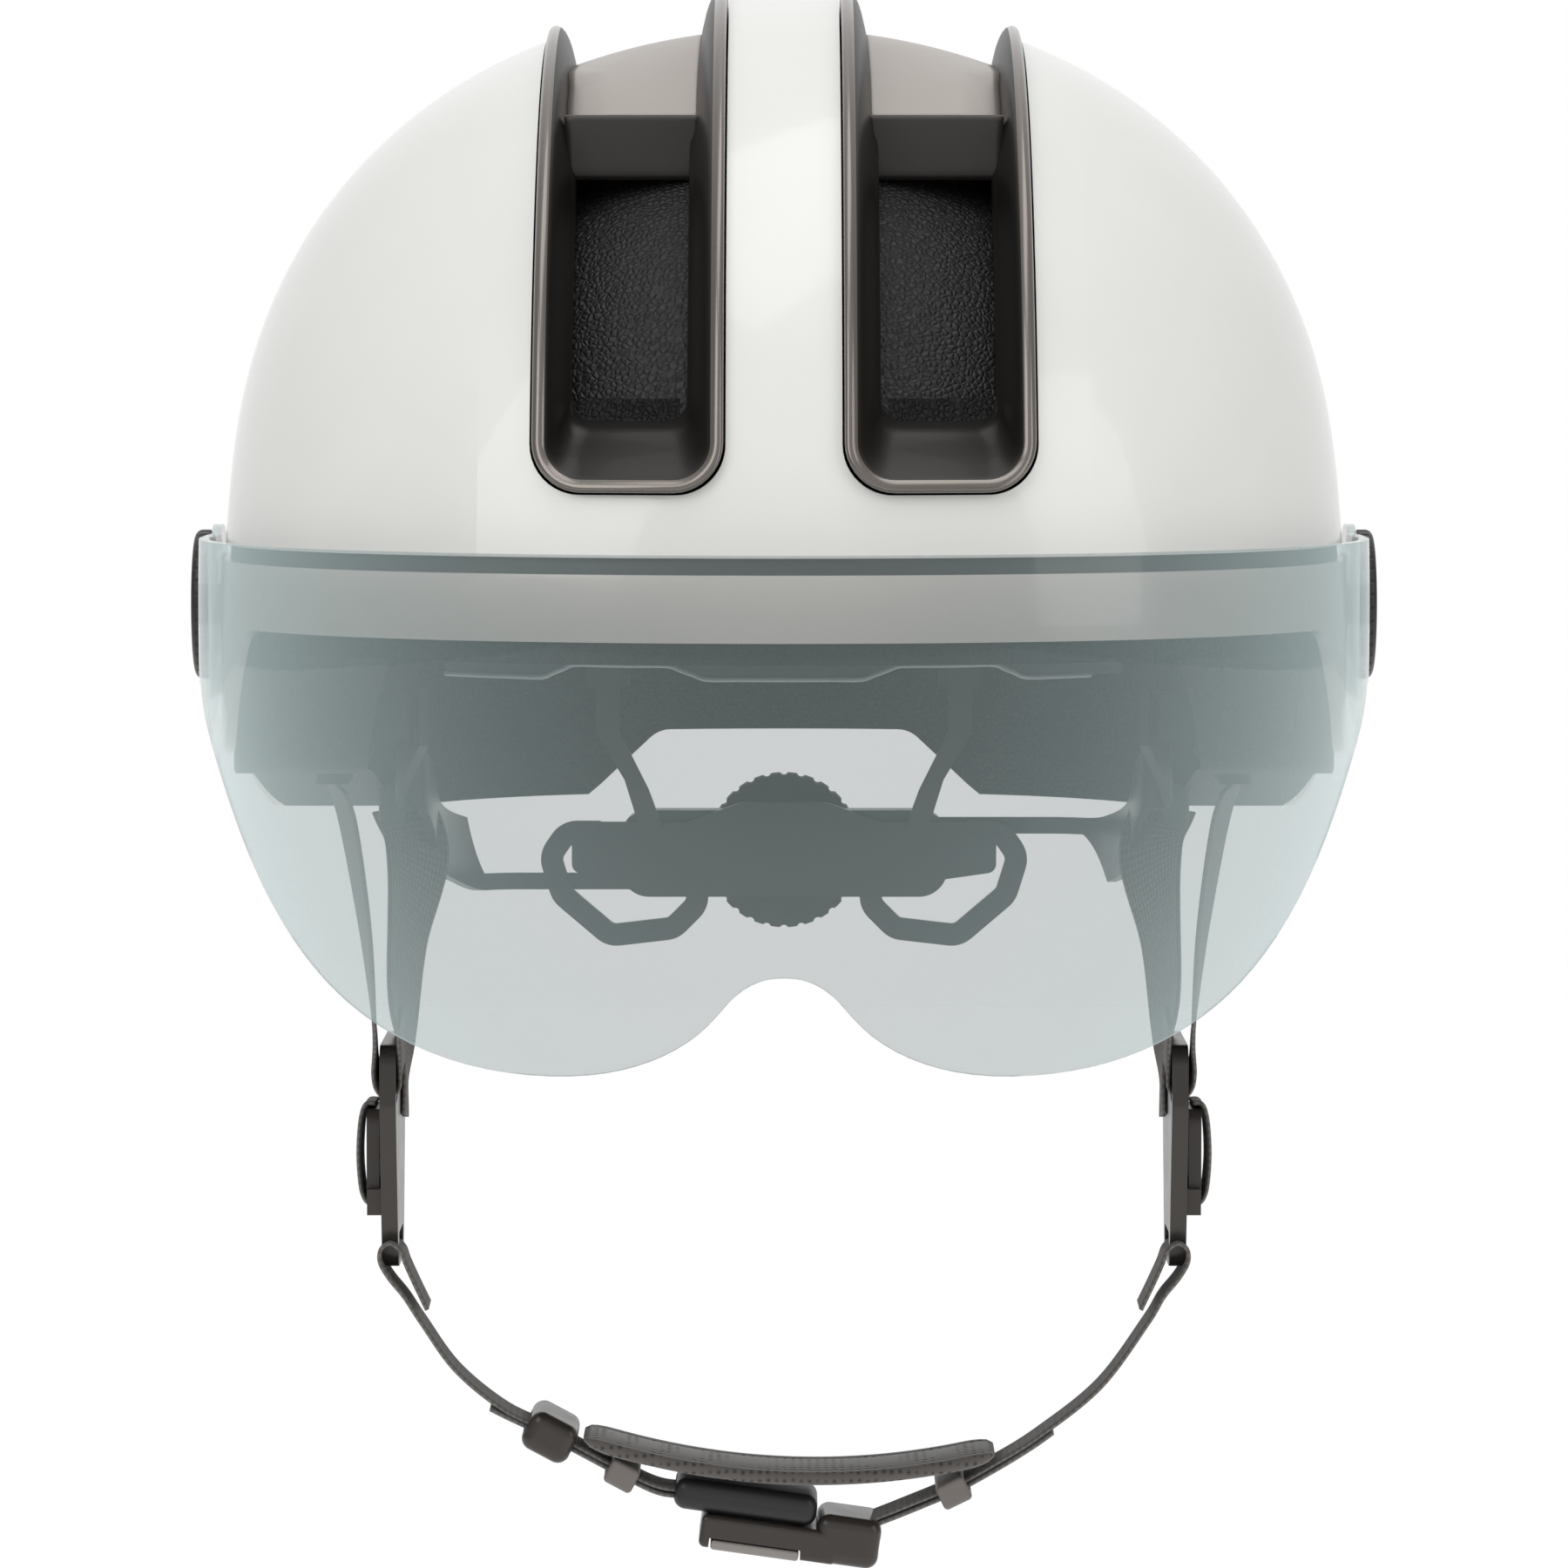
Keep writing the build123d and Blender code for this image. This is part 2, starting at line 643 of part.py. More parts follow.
headband_edge = [
    (-62, 6),
    (-62, -9.5),
    (-44, -9.5),
    (-38, -6.5),
    (-21, -6.5),
    (-14, -9.5),
    (14, -9.5),
    (21, -6.5),
    (38, -6.5),
    (44, -9.5),
    (62, -9.5),
    (62, 6),
]
with BuildPart() as front_headband:
    add(layer(CAVITY_DEPTH + 0.1, CAVITY_DEPTH + 0.1 + HEADBAND_THICKNESS))
    add(front_block(headband_edge, -CUT_REACH, 0), mode=Mode.INTERSECT)
save(front_headband.part, "front_headband")


def pad(corner_low, corner_high):
    """Comfort pad: a patch of the cavity's skin inside a box, clear of the headband."""
    depth = CAVITY_DEPTH + HEADBAND_THICKNESS + 0.3
    size = [high - low for low, high in zip(corner_low, corner_high)]
    middle = [(high + low) / 2 for low, high in zip(corner_low, corner_high)]
    with BuildPart() as body:
        add(layer(depth, depth + PAD_THICKNESS))
        with Locations(tuple(middle)):
            Box(*size, mode=Mode.INTERSECT)
    return body.part


save(pad((-46, -120, -6), (46, -40, 15)), "brow_pad")
save(pad((-8, -48, 60), (8, 48, 110)), "crown_pad")
save_pair(pad((44, -44, 30), (64, 26, 90)), "top_pad")
save_pair(pad((60, -30, -6), (110, 34, 22)), "side_pad")

with BuildPart() as dot_columns:
    with Locations((0, -30, 80), (0, 30, 80)):
        Cylinder(HOOK_RADIUS, 60)
    with Locations(*[Location((x, y, 8), (0, 90, 0)) for x in (-82, 82) for y in (-16, 20)]):
        Cylinder(HOOK_RADIUS, 60)
with BuildPart() as hook_dots:
    add(layer(CAVITY_DEPTH + 0.15, CAVITY_DEPTH + 1.35))
    add(dot_columns.part, mode=Mode.INTERSECT)
save(hook_dots.part, "hook_dots")

# ---- Webbing, strap anchors and dividers -----------------------------------------------------------


def box_at(centre, size, corner=0):
    """Upright block with its vertical edges rounded."""
    with BuildPart() as body:
        with Locations(centre):
            Box(*size)
        if corner:
            fillet(body.edges().filter_by(Axis.Z), corner)
    return body.part


save_pair(box_at(FRONT_ANCHOR, ANCHOR_SIZE, 1), "front_strap_anchor")
save_pair(box_at(REAR_ANCHOR, ANCHOR_SIZE, 1), "rear_strap_anchor")


def hanging_strap(anchor, foot_x, foot_y):
    """Webbing from the underside of an anchor down to the divider."""
    top_z = anchor[2] - ANCHOR_SIZE[2] / 2 - 0.05
    with BuildPart() as strap:
        with BuildSketch(Plane.XY.offset(top_z)):
            with Locations((anchor[0], anchor[1])):
                Rectangle(WEBBING_THICKNESS, WEBBING_WIDTH + 1)
        with BuildSketch(Plane.XY.offset(STRAP_FLOOR_Z)):
            with Locations((foot_x, foot_y)):
                Rectangle(WEBBING_THICKNESS, WEBBING_WIDTH)
        loft()
    return strap.part


save_pair(hanging_strap(FRONT_ANCHOR, DIVIDER_X + 3.2, DIVIDER_Y - 6), "front_strap")
save_pair(hanging_strap(REAR_ANCHOR, DIVIDER_X - 2.7, DIVIDER_Y + 8), "rear_strap")

divider_outline = [(-17, 22), (18, 22), (20, 10), (12, -22), (-9, -22), (-18, 10)]
with BuildPart() as divider_bore:
    with Locations(Location((HINGE_X, HINGE_Y, HINGE_Z), (90, 0, 0))):
        Cylinder(PIN_RADIUS + 0.02, 24.2)

with BuildPart() as divider:
    with BuildSketch(Plane.YZ.offset(DIVIDER_X - DIVIDER_THICKNESS / 2)) as face:
        with BuildLine():
            Polyline(*[(DIVIDER_Y + y, DIVIDER_Z + z) for y, z in divider_outline], close=True)
        make_face()
        fillet(face.vertices(), 4)
        for y, angle in ((-8.5, 14), (9.5, -14)):
            with Locations(Location((DIVIDER_Y + y, DIVIDER_Z + 14), angle)):
                RectangleRounded(15.5, 3.4, 1.2, mode=Mode.SUBTRACT)
        with Locations((DIVIDER_Y + 1.5, DIVIDER_Z - 17)):
            RectangleRounded(16, 3.2, 1.2, mode=Mode.SUBTRACT)
    extrude(amount=DIVIDER_THICKNESS)
    with Locations((HINGE_X - 0.5, HINGE_Y - 11, HINGE_Z), (HINGE_X - 0.5, HINGE_Y + 11, HINGE_Z)):
        Box(3.0, 2.4, 5)
    add(divider_bore.part, mode=Mode.SUBTRACT)
save_pair(divider.part, "strap_divider")

with BuildPart() as divider_pin:
    with Locations(Location((HINGE_X, HINGE_Y, HINGE_Z), (90, 0, 0))):
        Cylinder(PIN_RADIUS, 24)
save_pair(divider_pin.part, "divider_pin")

with BuildPart() as divider_lever:
    with BuildSketch(Plane.YZ.offset(HINGE_X - 1.25)):
        with Locations((HINGE_Y, HINGE_Z - LEVER_HEEL + LEVER_HEIGHT / 2)):
            RectangleRounded(18.6, LEVER_HEIGHT, 3)
    extrude(amount=2.45)
    with Locations(Location((HINGE_X, HINGE_Y, HINGE_Z), (90, 0, 0))):
        Cylinder(PIN_RADIUS + RUNNING_GAP, 30, mode=Mode.SUBTRACT)
save_pair(divider_lever.part, "divider_lever")

# ---- Chin straps, pad and buckle -------------------------------------------------------------------


def webbing(points):
    """Webbing seen edge-on from the front: a route of (x, z) points, as wide as webbing along Y."""
    with BuildPart() as strap:
        with BuildSketch(Plane.XZ.offset(-(CHIN_Y - WEBBING_WIDTH / 2))):
            with BuildLine():
                FilletPolyline(*points, radius=STRAP_BEND)
            trace(line_width=WEBBING_THICKNESS)
        extrude(amount=-WEBBING_WIDTH)
    return strap.part


strap_top_x = DIVIDER_X - 3.2
left_route = [
    (strap_top_x, -118),
    (strap_top_x - 0.8, -129),
    (68.2, -142),
    (51.2, -160.7),
    (37.6, -170.2),
    (20.5, -178),
]
right_route = [
    (-strap_top_x, -118),
    (0.8 - strap_top_x, -128),
    (-63.5, -148.8),
    (-54, -157),
    (-24, -173),
]
save(webbing(left_route), "chin_strap_left")
save(webbing(right_route), "chin_strap_right")

with BuildPart() as chin_pad:
    with BuildSketch(Plane.XZ.offset(CHIN_PAD_WIDTH / 2 - CHIN_Y)):
        with BuildLine():
            ThreePointArc((-36.5, -160.8), (0, -169.4), (38, -161.5))
        trace(line_width=3.4)
    extrude(amount=-CHIN_PAD_WIDTH)
save(chin_pad.part, "chin_pad")


def tilted_box(x, z, tilt, size, hollow, corner):
    """Rounded block threaded by the strap, turned to the strap's slope."""
    with BuildPart(Plane((x, CHIN_Y, z)).rotated((0, tilt, 0))) as body:
        Box(*size)
        fillet(body.edges(), corner)
        Box(*hollow, mode=Mode.SUBTRACT)
    return body.part


save(tilted_box(-45.5, -161.53, 28.1, (10, 20, 8), (12, 16.4, 3), 2.4), "strap_slider")
save(tilted_box(-31.5, -169.0, 28.1, (6, 19, 5), (7, 16.4, 2.6), 0.9), "strap_loop_right")
save(tilted_box(33.0, -172.3, -26, (6, 19, 5), (7, 16.4, 2.6), 0.9), "strap_loop_left")

buckle_plane = Plane((-1, CHIN_Y, -178.4)).rotated((0, BUCKLE_TILT, 0))


def buckle_block(low, high, corner=0):
    """Block in the buckle's own frame: along the strap, across it, and up towards the chin."""
    size = [b - a for a, b in zip(low, high)]
    middle = [(a + b) / 2 for a, b in zip(low, high)]
    with BuildPart(buckle_plane) as body:
        with Locations(tuple(middle)):
            Box(*size)
        if corner:
            fillet(body.edges(), corner)
    return body.part


with BuildPart() as buckle_body:
    add(buckle_block((-21, -10, 0.3), (7, 10, 6.4), 2.4))
    add(buckle_block((-23, -8.2, 3.0), (-18, 8.2, 5.0)), mode=Mode.SUBTRACT)
    add(buckle_block((-8, -4.5, -1), (1, 4.5, 3.4)), mode=Mode.SUBTRACT)
save(buckle_body.part, "buckle_body")

with BuildPart() as buckle_tongue:
    add(buckle_block((-15, -10, -6.4), (12, 10, 0), 1.2))
    add(buckle_block((7.4, -10, -6.4), (20, 10, 3.2), 2.4))
    add(buckle_block((15, -8.2, -3.2), (22, 8.2, -0.4)), mode=Mode.SUBTRACT)
    add(buckle_block((-8, -4.5, -3.2), (1, 4.5, 1)), mode=Mode.SUBTRACT)
    add(buckle_block((-13, -11, -7), (5, 11, -4.4)), mode=Mode.SUBTRACT)
save(buckle_tongue.part, "buckle_tongue")
save(buckle_block((-7.9, -4.4, 0.4), (0.9, 4.4, 3.3)), "buckle_magnet_upper")
save(buckle_block((-7.9, -4.4, -3.1), (0.9, 4.4, -0.1)), "buckle_magnet_lower")

save(buckle_block((-12.6, -10, -6.6), (4.6, 8, -4.7), 0.6), "buckle_release")
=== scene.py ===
"""Looks of the bicycle helmet with a flip visor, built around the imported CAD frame. Metres."""
from math import asin, cos, pi, radians, sin, sqrt

import bmesh
import bpy
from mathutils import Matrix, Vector


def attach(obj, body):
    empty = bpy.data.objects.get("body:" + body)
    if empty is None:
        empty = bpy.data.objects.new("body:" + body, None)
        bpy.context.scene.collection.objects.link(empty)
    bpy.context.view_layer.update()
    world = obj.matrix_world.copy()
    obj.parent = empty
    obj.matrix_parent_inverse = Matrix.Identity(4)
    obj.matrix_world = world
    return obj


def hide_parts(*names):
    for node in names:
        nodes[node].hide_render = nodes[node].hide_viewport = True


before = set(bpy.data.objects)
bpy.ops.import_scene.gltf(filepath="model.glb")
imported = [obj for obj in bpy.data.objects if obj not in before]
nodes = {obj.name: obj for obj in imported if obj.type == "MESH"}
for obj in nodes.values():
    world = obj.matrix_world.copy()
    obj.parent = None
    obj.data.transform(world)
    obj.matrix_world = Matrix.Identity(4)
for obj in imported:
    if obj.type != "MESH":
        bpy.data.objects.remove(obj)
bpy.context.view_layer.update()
scene = bpy.context.scene
MM = 0.001

# ---- Camera, light and floor ---------------------------------------------------------------------

AIM = Vector((0, 0, -0.035))
CAMERA_DISTANCE = 1.5
CAMERA_ELEVATION = radians(3.5)
VIEW_WIDTH = 0.305
SENSOR = 36.0
FLOOR_Z = -0.62
FLOOR_SIZE = 12
FLOOR_GREY = 0.4
FLOOR_GLOW = 0.7

# Grey of the studio along one direction: from, to, grey at the first, grey at the second
SIDE_FADE = (0.14, 0.8, 1.0, 0.46)
FRONT_FADE = (-0.7, 0.4, 0.78, 1.0)

# Place, width and height, power in watts
LIGHTS = {
    "key": ((-1.0, -1.1, 1.15), (1.0, 1.4), 9.0),
    "fill": ((1.3, -0.8, 0.6), (0.7, 1.4), 4.5),
    "top": ((0.1, -0.1, 1.6), (1.4, 0.8), 5.0),
}


def add_camera():
    data = bpy.data.cameras.new("camera")
    data.sensor_width = SENSOR
    data.lens = SENSOR * CAMERA_DISTANCE / VIEW_WIDTH
    data.clip_start = 0.05
    data.clip_end = 50
    camera = bpy.data.objects.new("camera", data)
    scene.collection.objects.link(camera)
    offset = Vector((0, -cos(CAMERA_ELEVATION), sin(CAMERA_ELEVATION))) * CAMERA_DISTANCE
    camera.location = AIM + offset
    camera.rotation_euler = (-offset).to_track_quat("-Z", "Y").to_euler()
    scene.camera = camera


def add_area_light(name, place, size, power):
    data = bpy.data.lights.new(name, "AREA")
    data.shape = "RECTANGLE"
    data.size, data.size_y = size
    data.energy = power
    light = bpy.data.objects.new(name, data)
    scene.collection.objects.link(light)
    light.location = place
    light.rotation_euler = (AIM - Vector(place)).to_track_quat("-Z", "Y").to_euler()


def add_world():
    """White studio, greyer towards the sides and the front so that the gloss edges read."""
    world = bpy.data.worlds.new("studio")
    scene.world = world
    world.use_nodes = True
    tree = world.node_tree
    coords = tree.nodes.new("ShaderNodeTexCoord")
    split = tree.nodes.new("ShaderNodeSeparateXYZ")
    tree.links.new(coords.outputs["Generated"], split.inputs[0])
    width = tree.nodes.new("ShaderNodeMath")
    width.operation = "ABSOLUTE"
    tree.links.new(split.outputs["X"], width.inputs[0])
    shades = []
    for value, fade in ((width.outputs[0], SIDE_FADE), (split.outputs["Y"], FRONT_FADE)):
        near, far, near_grey, far_grey = fade
        spread = tree.nodes.new("ShaderNodeMapRange")
        spread.inputs["From Min"].default_value = near
        spread.inputs["From Max"].default_value = far
        spread.inputs["To Min"].default_value = near_grey
        spread.inputs["To Max"].default_value = far_grey
        tree.links.new(value, spread.inputs["Value"])
        shades.append(spread.outputs["Result"])
    product = tree.nodes.new("ShaderNodeMath")
    product.operation = "MULTIPLY"
    tree.links.new(shades[0], product.inputs[0])
    tree.links.new(shades[1], product.inputs[1])
    tree.links.new(product.outputs[0], tree.nodes["Background"].inputs["Color"])


def add_floor():
    bpy.ops.mesh.primitive_plane_add(size=FLOOR_SIZE, location=(0, 0, FLOOR_Z))
    floor = bpy.context.object
    floor.name = "floor"
    material = bpy.data.materials.new("floor_white")
    material.use_nodes = True
    shader = material.node_tree.nodes["Principled BSDF"]
    shader.inputs["Base Color"].default_value = (FLOOR_GREY, FLOOR_GREY, FLOOR_GREY, 1)
    shader.inputs["Roughness"].default_value = 0.9
    shader.inputs["Emission Color"].default_value = (1, 1, 1, 1)
    shader.inputs["Emission Strength"].default_value = FLOOR_GLOW
    floor.data.materials.append(material)


add_camera()
add_world()
add_floor()
for light_name, (light_place, light_size, light_power) in LIGHTS.items():
    add_area_light(light_name, light_place, light_size, light_power)
scene.view_settings.view_transform = "Standard"

# ---- Materials -----------------------------------------------------------------------------------

# Patterns are in metres, or so many to the metre.
# Shades are the darkest and the brightest share of a colour.
COAT_ROUGHNESS = 0.04
DRIFT_PER_METRE = 24
DRIFT_SHADES = (0.95, 1.05)
WEAR_PER_METRE = 160
GRAIN_DEPTH = 0.0004
BEADS_PER_METRE = 820
BEAD_SHADES = (0.8, 1.25)
BEAD_JOINT_SHADE = 0.35
BEAD_JOINT_SHARPNESS = 3.2
WEB_RIB = 0.0009
WEB_YARN = 1.6 * WEB_RIB
WEB_SHADES = (0.6, 1.25)
KNIT_PITCH = 0.0016
KNIT_STRAND = 0.25
KNIT_SHADES = (0.8, 1.15)
OPEN_KNIT_SHADES = (0.3, 1.15)
# Painted reflection: how much paler the lens colour grows where it is seen edge-on
LENS_EDGE_REFLECTION = 4.6


def srgb(red, green, blue):
    """Linear colour from 0 to 255 display values."""
    return tuple((channel / 255) ** 2.2 for channel in (red, green, blue)) + (1.0,)


def shader_of(name, roughness, metallic=0.0, coat=0.0, sheen=0.0):
    material = bpy.data.materials.new(name)
    material.use_nodes = True
    shader = material.node_tree.nodes["Principled BSDF"]
    shader.inputs["Roughness"].default_value = roughness
    shader.inputs["Metallic"].default_value = metallic
    shader.inputs["Coat Weight"].default_value = coat
    shader.inputs["Coat Roughness"].default_value = COAT_ROUGHNESS
    shader.inputs["Sheen Weight"].default_value = sheen
    return material, material.node_tree, shader


def add_noise(tree, scale, detail):
    """Noise in the object's own space, scale per metre."""
    source = tree.nodes.new("ShaderNodeTexCoord")
    noise = tree.nodes.new("ShaderNodeTexNoise")
    noise.inputs["Scale"].default_value = scale
    noise.inputs["Detail"].default_value = detail
    tree.links.new(source.outputs["Object"], noise.inputs["Vector"])
    return noise.outputs["Fac"]


def add_mix(tree, factor, low, high):
    mix = tree.nodes.new("ShaderNodeMix")
    mix.data_type = "RGBA"
    mix.inputs["A"].default_value = low
    mix.inputs["B"].default_value = high
    tree.links.new(factor, mix.inputs["Factor"])
    return mix.outputs["Result"]


def add_range(tree, value, low, high):
    spread = tree.nodes.new("ShaderNodeMapRange")
    spread.inputs["To Min"].default_value = low
    spread.inputs["To Max"].default_value = high
    tree.links.new(value, spread.inputs["Value"])
    return spread.outputs["Result"]


def add_bump(tree, shader, height, strength, distance):
    bump = tree.nodes.new("ShaderNodeBump")
    bump.inputs["Strength"].default_value = strength
    bump.inputs["Distance"].default_value = distance
    tree.links.new(height, bump.inputs["Height"])
    tree.links.new(bump.outputs["Normal"], shader.inputs["Normal"])


def shade(colour, amount):
    return tuple(channel * amount for channel in colour[:3]) + (colour[3],)


def add_shades(tree, factor, colour, shades):
    """The colour, from its darkest to its brightest shade as the factor rises."""
    darkest, brightest = shades
    return add_mix(tree, factor, shade(colour, darkest), shade(colour, brightest))


def moulded(name, colour, roughness, metallic=0.0, coat=0.0, wear=0.07, grain=1400, bump=0.02):
    """Moulded plastic: a slow drift of tone, roughness that varies with wear, and a fine grain."""
    material, tree, shader = shader_of(name, roughness, metallic, coat)
    drift = add_noise(tree, DRIFT_PER_METRE, detail=3)
    tone = add_shades(tree, drift, colour, DRIFT_SHADES)
    tree.links.new(tone, shader.inputs["Base Color"])
    rubbed = add_range(tree, add_noise(tree, WEAR_PER_METRE, detail=4), roughness - wear, roughness + wear)
    tree.links.new(rubbed, shader.inputs["Roughness"])
    if bump:
        add_bump(tree, shader, add_noise(tree, grain, detail=2), bump, GRAIN_DEPTH)
    return material


def bead_foam(name, colour):
    """Expanded bead foam: packed cells with dark joints between them."""
    material, tree, shader = shader_of(name, 0.55)
    source = tree.nodes.new("ShaderNodeTexCoord")
    cells = tree.nodes.new("ShaderNodeTexVoronoi")
    cells.feature = "DISTANCE_TO_EDGE"
    cells.inputs["Scale"].default_value = BEADS_PER_METRE
    tint = tree.nodes.new("ShaderNodeTexVoronoi")
    tint.inputs["Scale"].default_value = BEADS_PER_METRE
    for texture in (cells, tint):
        tree.links.new(source.outputs["Object"], texture.inputs["Vector"])
    edge = add_range(tree, cells.outputs["Distance"], 0.0, BEAD_JOINT_SHARPNESS)
    split = tree.nodes.new("ShaderNodeSeparateColor")
    tree.links.new(tint.outputs["Color"], split.inputs[0])
    bead = add_shades(tree, split.outputs[0], colour, BEAD_SHADES)
    joint = tree.nodes.new("ShaderNodeMix")
    joint.data_type = "RGBA"
    joint.inputs["A"].default_value = shade(colour, BEAD_JOINT_SHADE)
    tree.links.new(bead, joint.inputs["B"])
    clamp = tree.nodes.new("ShaderNodeClamp")
    tree.links.new(edge, clamp.inputs[0])
    tree.links.new(clamp.outputs[0], joint.inputs["Factor"])
    tree.links.new(joint.outputs["Result"], shader.inputs["Base Color"])
    add_bump(tree, shader, clamp.outputs[0], strength=0.5, distance=0.0005)
    return material


def woven(name, colour):
    """Webbing: ribs and yarns that cross, by the strap's own UV in metres."""
    material, tree, shader = shader_of(name, 0.75, sheen=0.25)
    source = tree.nodes.new("ShaderNodeTexCoord")
    waves = []
    for direction, pitch in (("X", WEB_RIB), ("Y", WEB_YARN)):
        wave = tree.nodes.new("ShaderNodeTexWave")
        wave.bands_direction = direction
        # At a scale of 1 the bands repeat 20 times in 2 pi metres
        wave.inputs["Scale"].default_value = 2 * pi / (20 * pitch)
        wave.inputs["Distortion"].default_value = 0.6
        wave.inputs["Detail Scale"].default_value = 2.0
        tree.links.new(source.outputs["UV"], wave.inputs["Vector"])
        waves.append(wave.outputs["Fac"])
    product = tree.nodes.new("ShaderNodeMath")
    product.operation = "MULTIPLY"
    tree.links.new(waves[0], product.inputs[0])
    tree.links.new(waves[1], product.inputs[1])
    weave = tree.nodes.new("ShaderNodeMath")
    weave.operation = "ADD"
    tree.links.new(product.outputs[0], weave.inputs[0])
    tree.links.new(waves[0], weave.inputs[1])
    tone = add_shades(tree, product.outputs[0], colour, WEB_SHADES)
    tree.links.new(tone, shader.inputs["Base Color"])
    add_bump(tree, shader, weave.outputs[0], strength=0.6, distance=0.0003)
    return material


def knitted(name, colour, pitch=KNIT_PITCH, hole=0.0):
    """Pad cloth: a fine knit, or a spacer mesh when hole is over zero."""
    material, tree, shader = shader_of(name, 0.9, sheen=0.4)
    source = tree.nodes.new("ShaderNodeTexCoord")
    cells = tree.nodes.new("ShaderNodeTexVoronoi")
    cells.inputs["Scale"].default_value = 1 / pitch
    cells.inputs["Randomness"].default_value = 0.15
    tree.links.new(source.outputs["Object"], cells.inputs["Vector"])
    depth = tree.nodes.new("ShaderNodeMapRange")
    depth.inputs["From Min"].default_value = hole
    depth.inputs["From Max"].default_value = hole + KNIT_STRAND
    tree.links.new(cells.outputs["Distance"], depth.inputs["Value"])
    tone = add_shades(tree, depth.outputs[0], colour, OPEN_KNIT_SHADES if hole else KNIT_SHADES)
    tree.links.new(tone, shader.inputs["Base Color"])
    add_bump(tree, shader, depth.outputs[0], strength=0.7, distance=0.0004)
    return material


def clear_lens(name, colour, face_alpha, edge_alpha):
    """Clear smoke lens: a light tinted veil over what is behind it, denser where it is seen edge-on and
    paler there by a painted reflection.
    """
    material, tree, shader = shader_of(name, 0.03)
    facing = tree.nodes.new("ShaderNodeLayerWeight")
    facing.inputs["Blend"].default_value = 0.35
    # Painted reflection: paler towards the parts seen edge-on
    veil_and_reflection = add_mix(tree, facing.outputs["Facing"], colour, shade(colour, LENS_EDGE_REFLECTION))
    tree.links.new(veil_and_reflection, shader.inputs["Base Color"])
    density = add_range(tree, facing.outputs["Facing"], face_alpha, edge_alpha)
    tree.links.new(density, shader.inputs["Alpha"])
    material.surface_render_method = "BLENDED"
    return material


mat = {
    "shell": moulded("shell_white", srgb(224, 224, 220), 0.3, coat=0.5, wear=0.02, bump=0),
    "band": moulded("band_taupe", srgb(228, 220, 214), 0.24, metallic=0.1, coat=0.4, wear=0.02, bump=0),
    # Painted shade: the seam strip sits in the gap under the shell's edge, painted dark where shade falls
    "strip": moulded("seam_painted_shade", srgb(58, 54, 51), 0.4),
    "frame": moulded("frame_taupe", srgb(118, 112, 107), 0.22,
                     metallic=0.8, coat=0.3, wear=0.02, grain=1500, bump=0.008),
    "bar": moulded("bar_taupe", srgb(168, 161, 155), 0.36, metallic=0.6, wear=0.03, grain=1500, bump=0.01),
    # Painted shade: the bar's front face, a darker copy of the bar's taupe
    "face": moulded("bar_face_painted_shade", srgb(58, 55, 52), 0.42, metallic=0.3),
    # Painted shade: the inside of each vent's funnel, dark where shade falls in it
    "funnel": moulded("funnel_painted_shade", srgb(41, 38, 36), 0.4,
                      metallic=0.4, coat=0.05, wear=0.02, grain=1500, bump=0.01),
    "headband": moulded("headband_grey", srgb(92, 94, 94), 0.35),
    # Painted highlight: a pale bead that stands in for the light on the headband's lower edge
    "welt": moulded("welt_painted_highlight", srgb(160, 166, 166), 0.3),
    "foam": bead_foam("foam_black", srgb(31, 32, 32)),
    "black": moulded("plastic_black", srgb(44, 45, 46), 0.34),
    "knob": moulded("knob_black", srgb(30, 30, 30), 0.42),
    "rubber": moulded("rubber_black", srgb(34, 34, 34), 0.7, grain=2200, bump=0.15),
    "divider": moulded("divider_taupe", srgb(62, 58, 55), 0.3, metallic=0.3),
    "loop": moulded("loop_rubber", srgb(112, 106, 102), 0.45),
    "release": moulded("release_grey", srgb(138, 133, 129), 0.4),
    "steel": moulded("steel", srgb(180, 180, 182), 0.3, metallic=1.0),
    "nylon": moulded("nylon_dark", srgb(60, 60, 60), 0.45),
    "washer": moulded("washer_clear", srgb(190, 192, 190), 0.2),
    "webbing": woven("webbing", srgb(114, 110, 106)),
    "pad": knitted("pad_knit", srgb(42, 42, 43)),
    "mesh": knitted("pad_mesh", srgb(84, 80, 77), hole=0.1),
    "hook": knitted("hook_tape", srgb(24, 24, 24), pitch=0.0011),
    "lens": clear_lens("visor_smoke", srgb(115, 127, 127), face_alpha=0.27, edge_alpha=0.66),
}

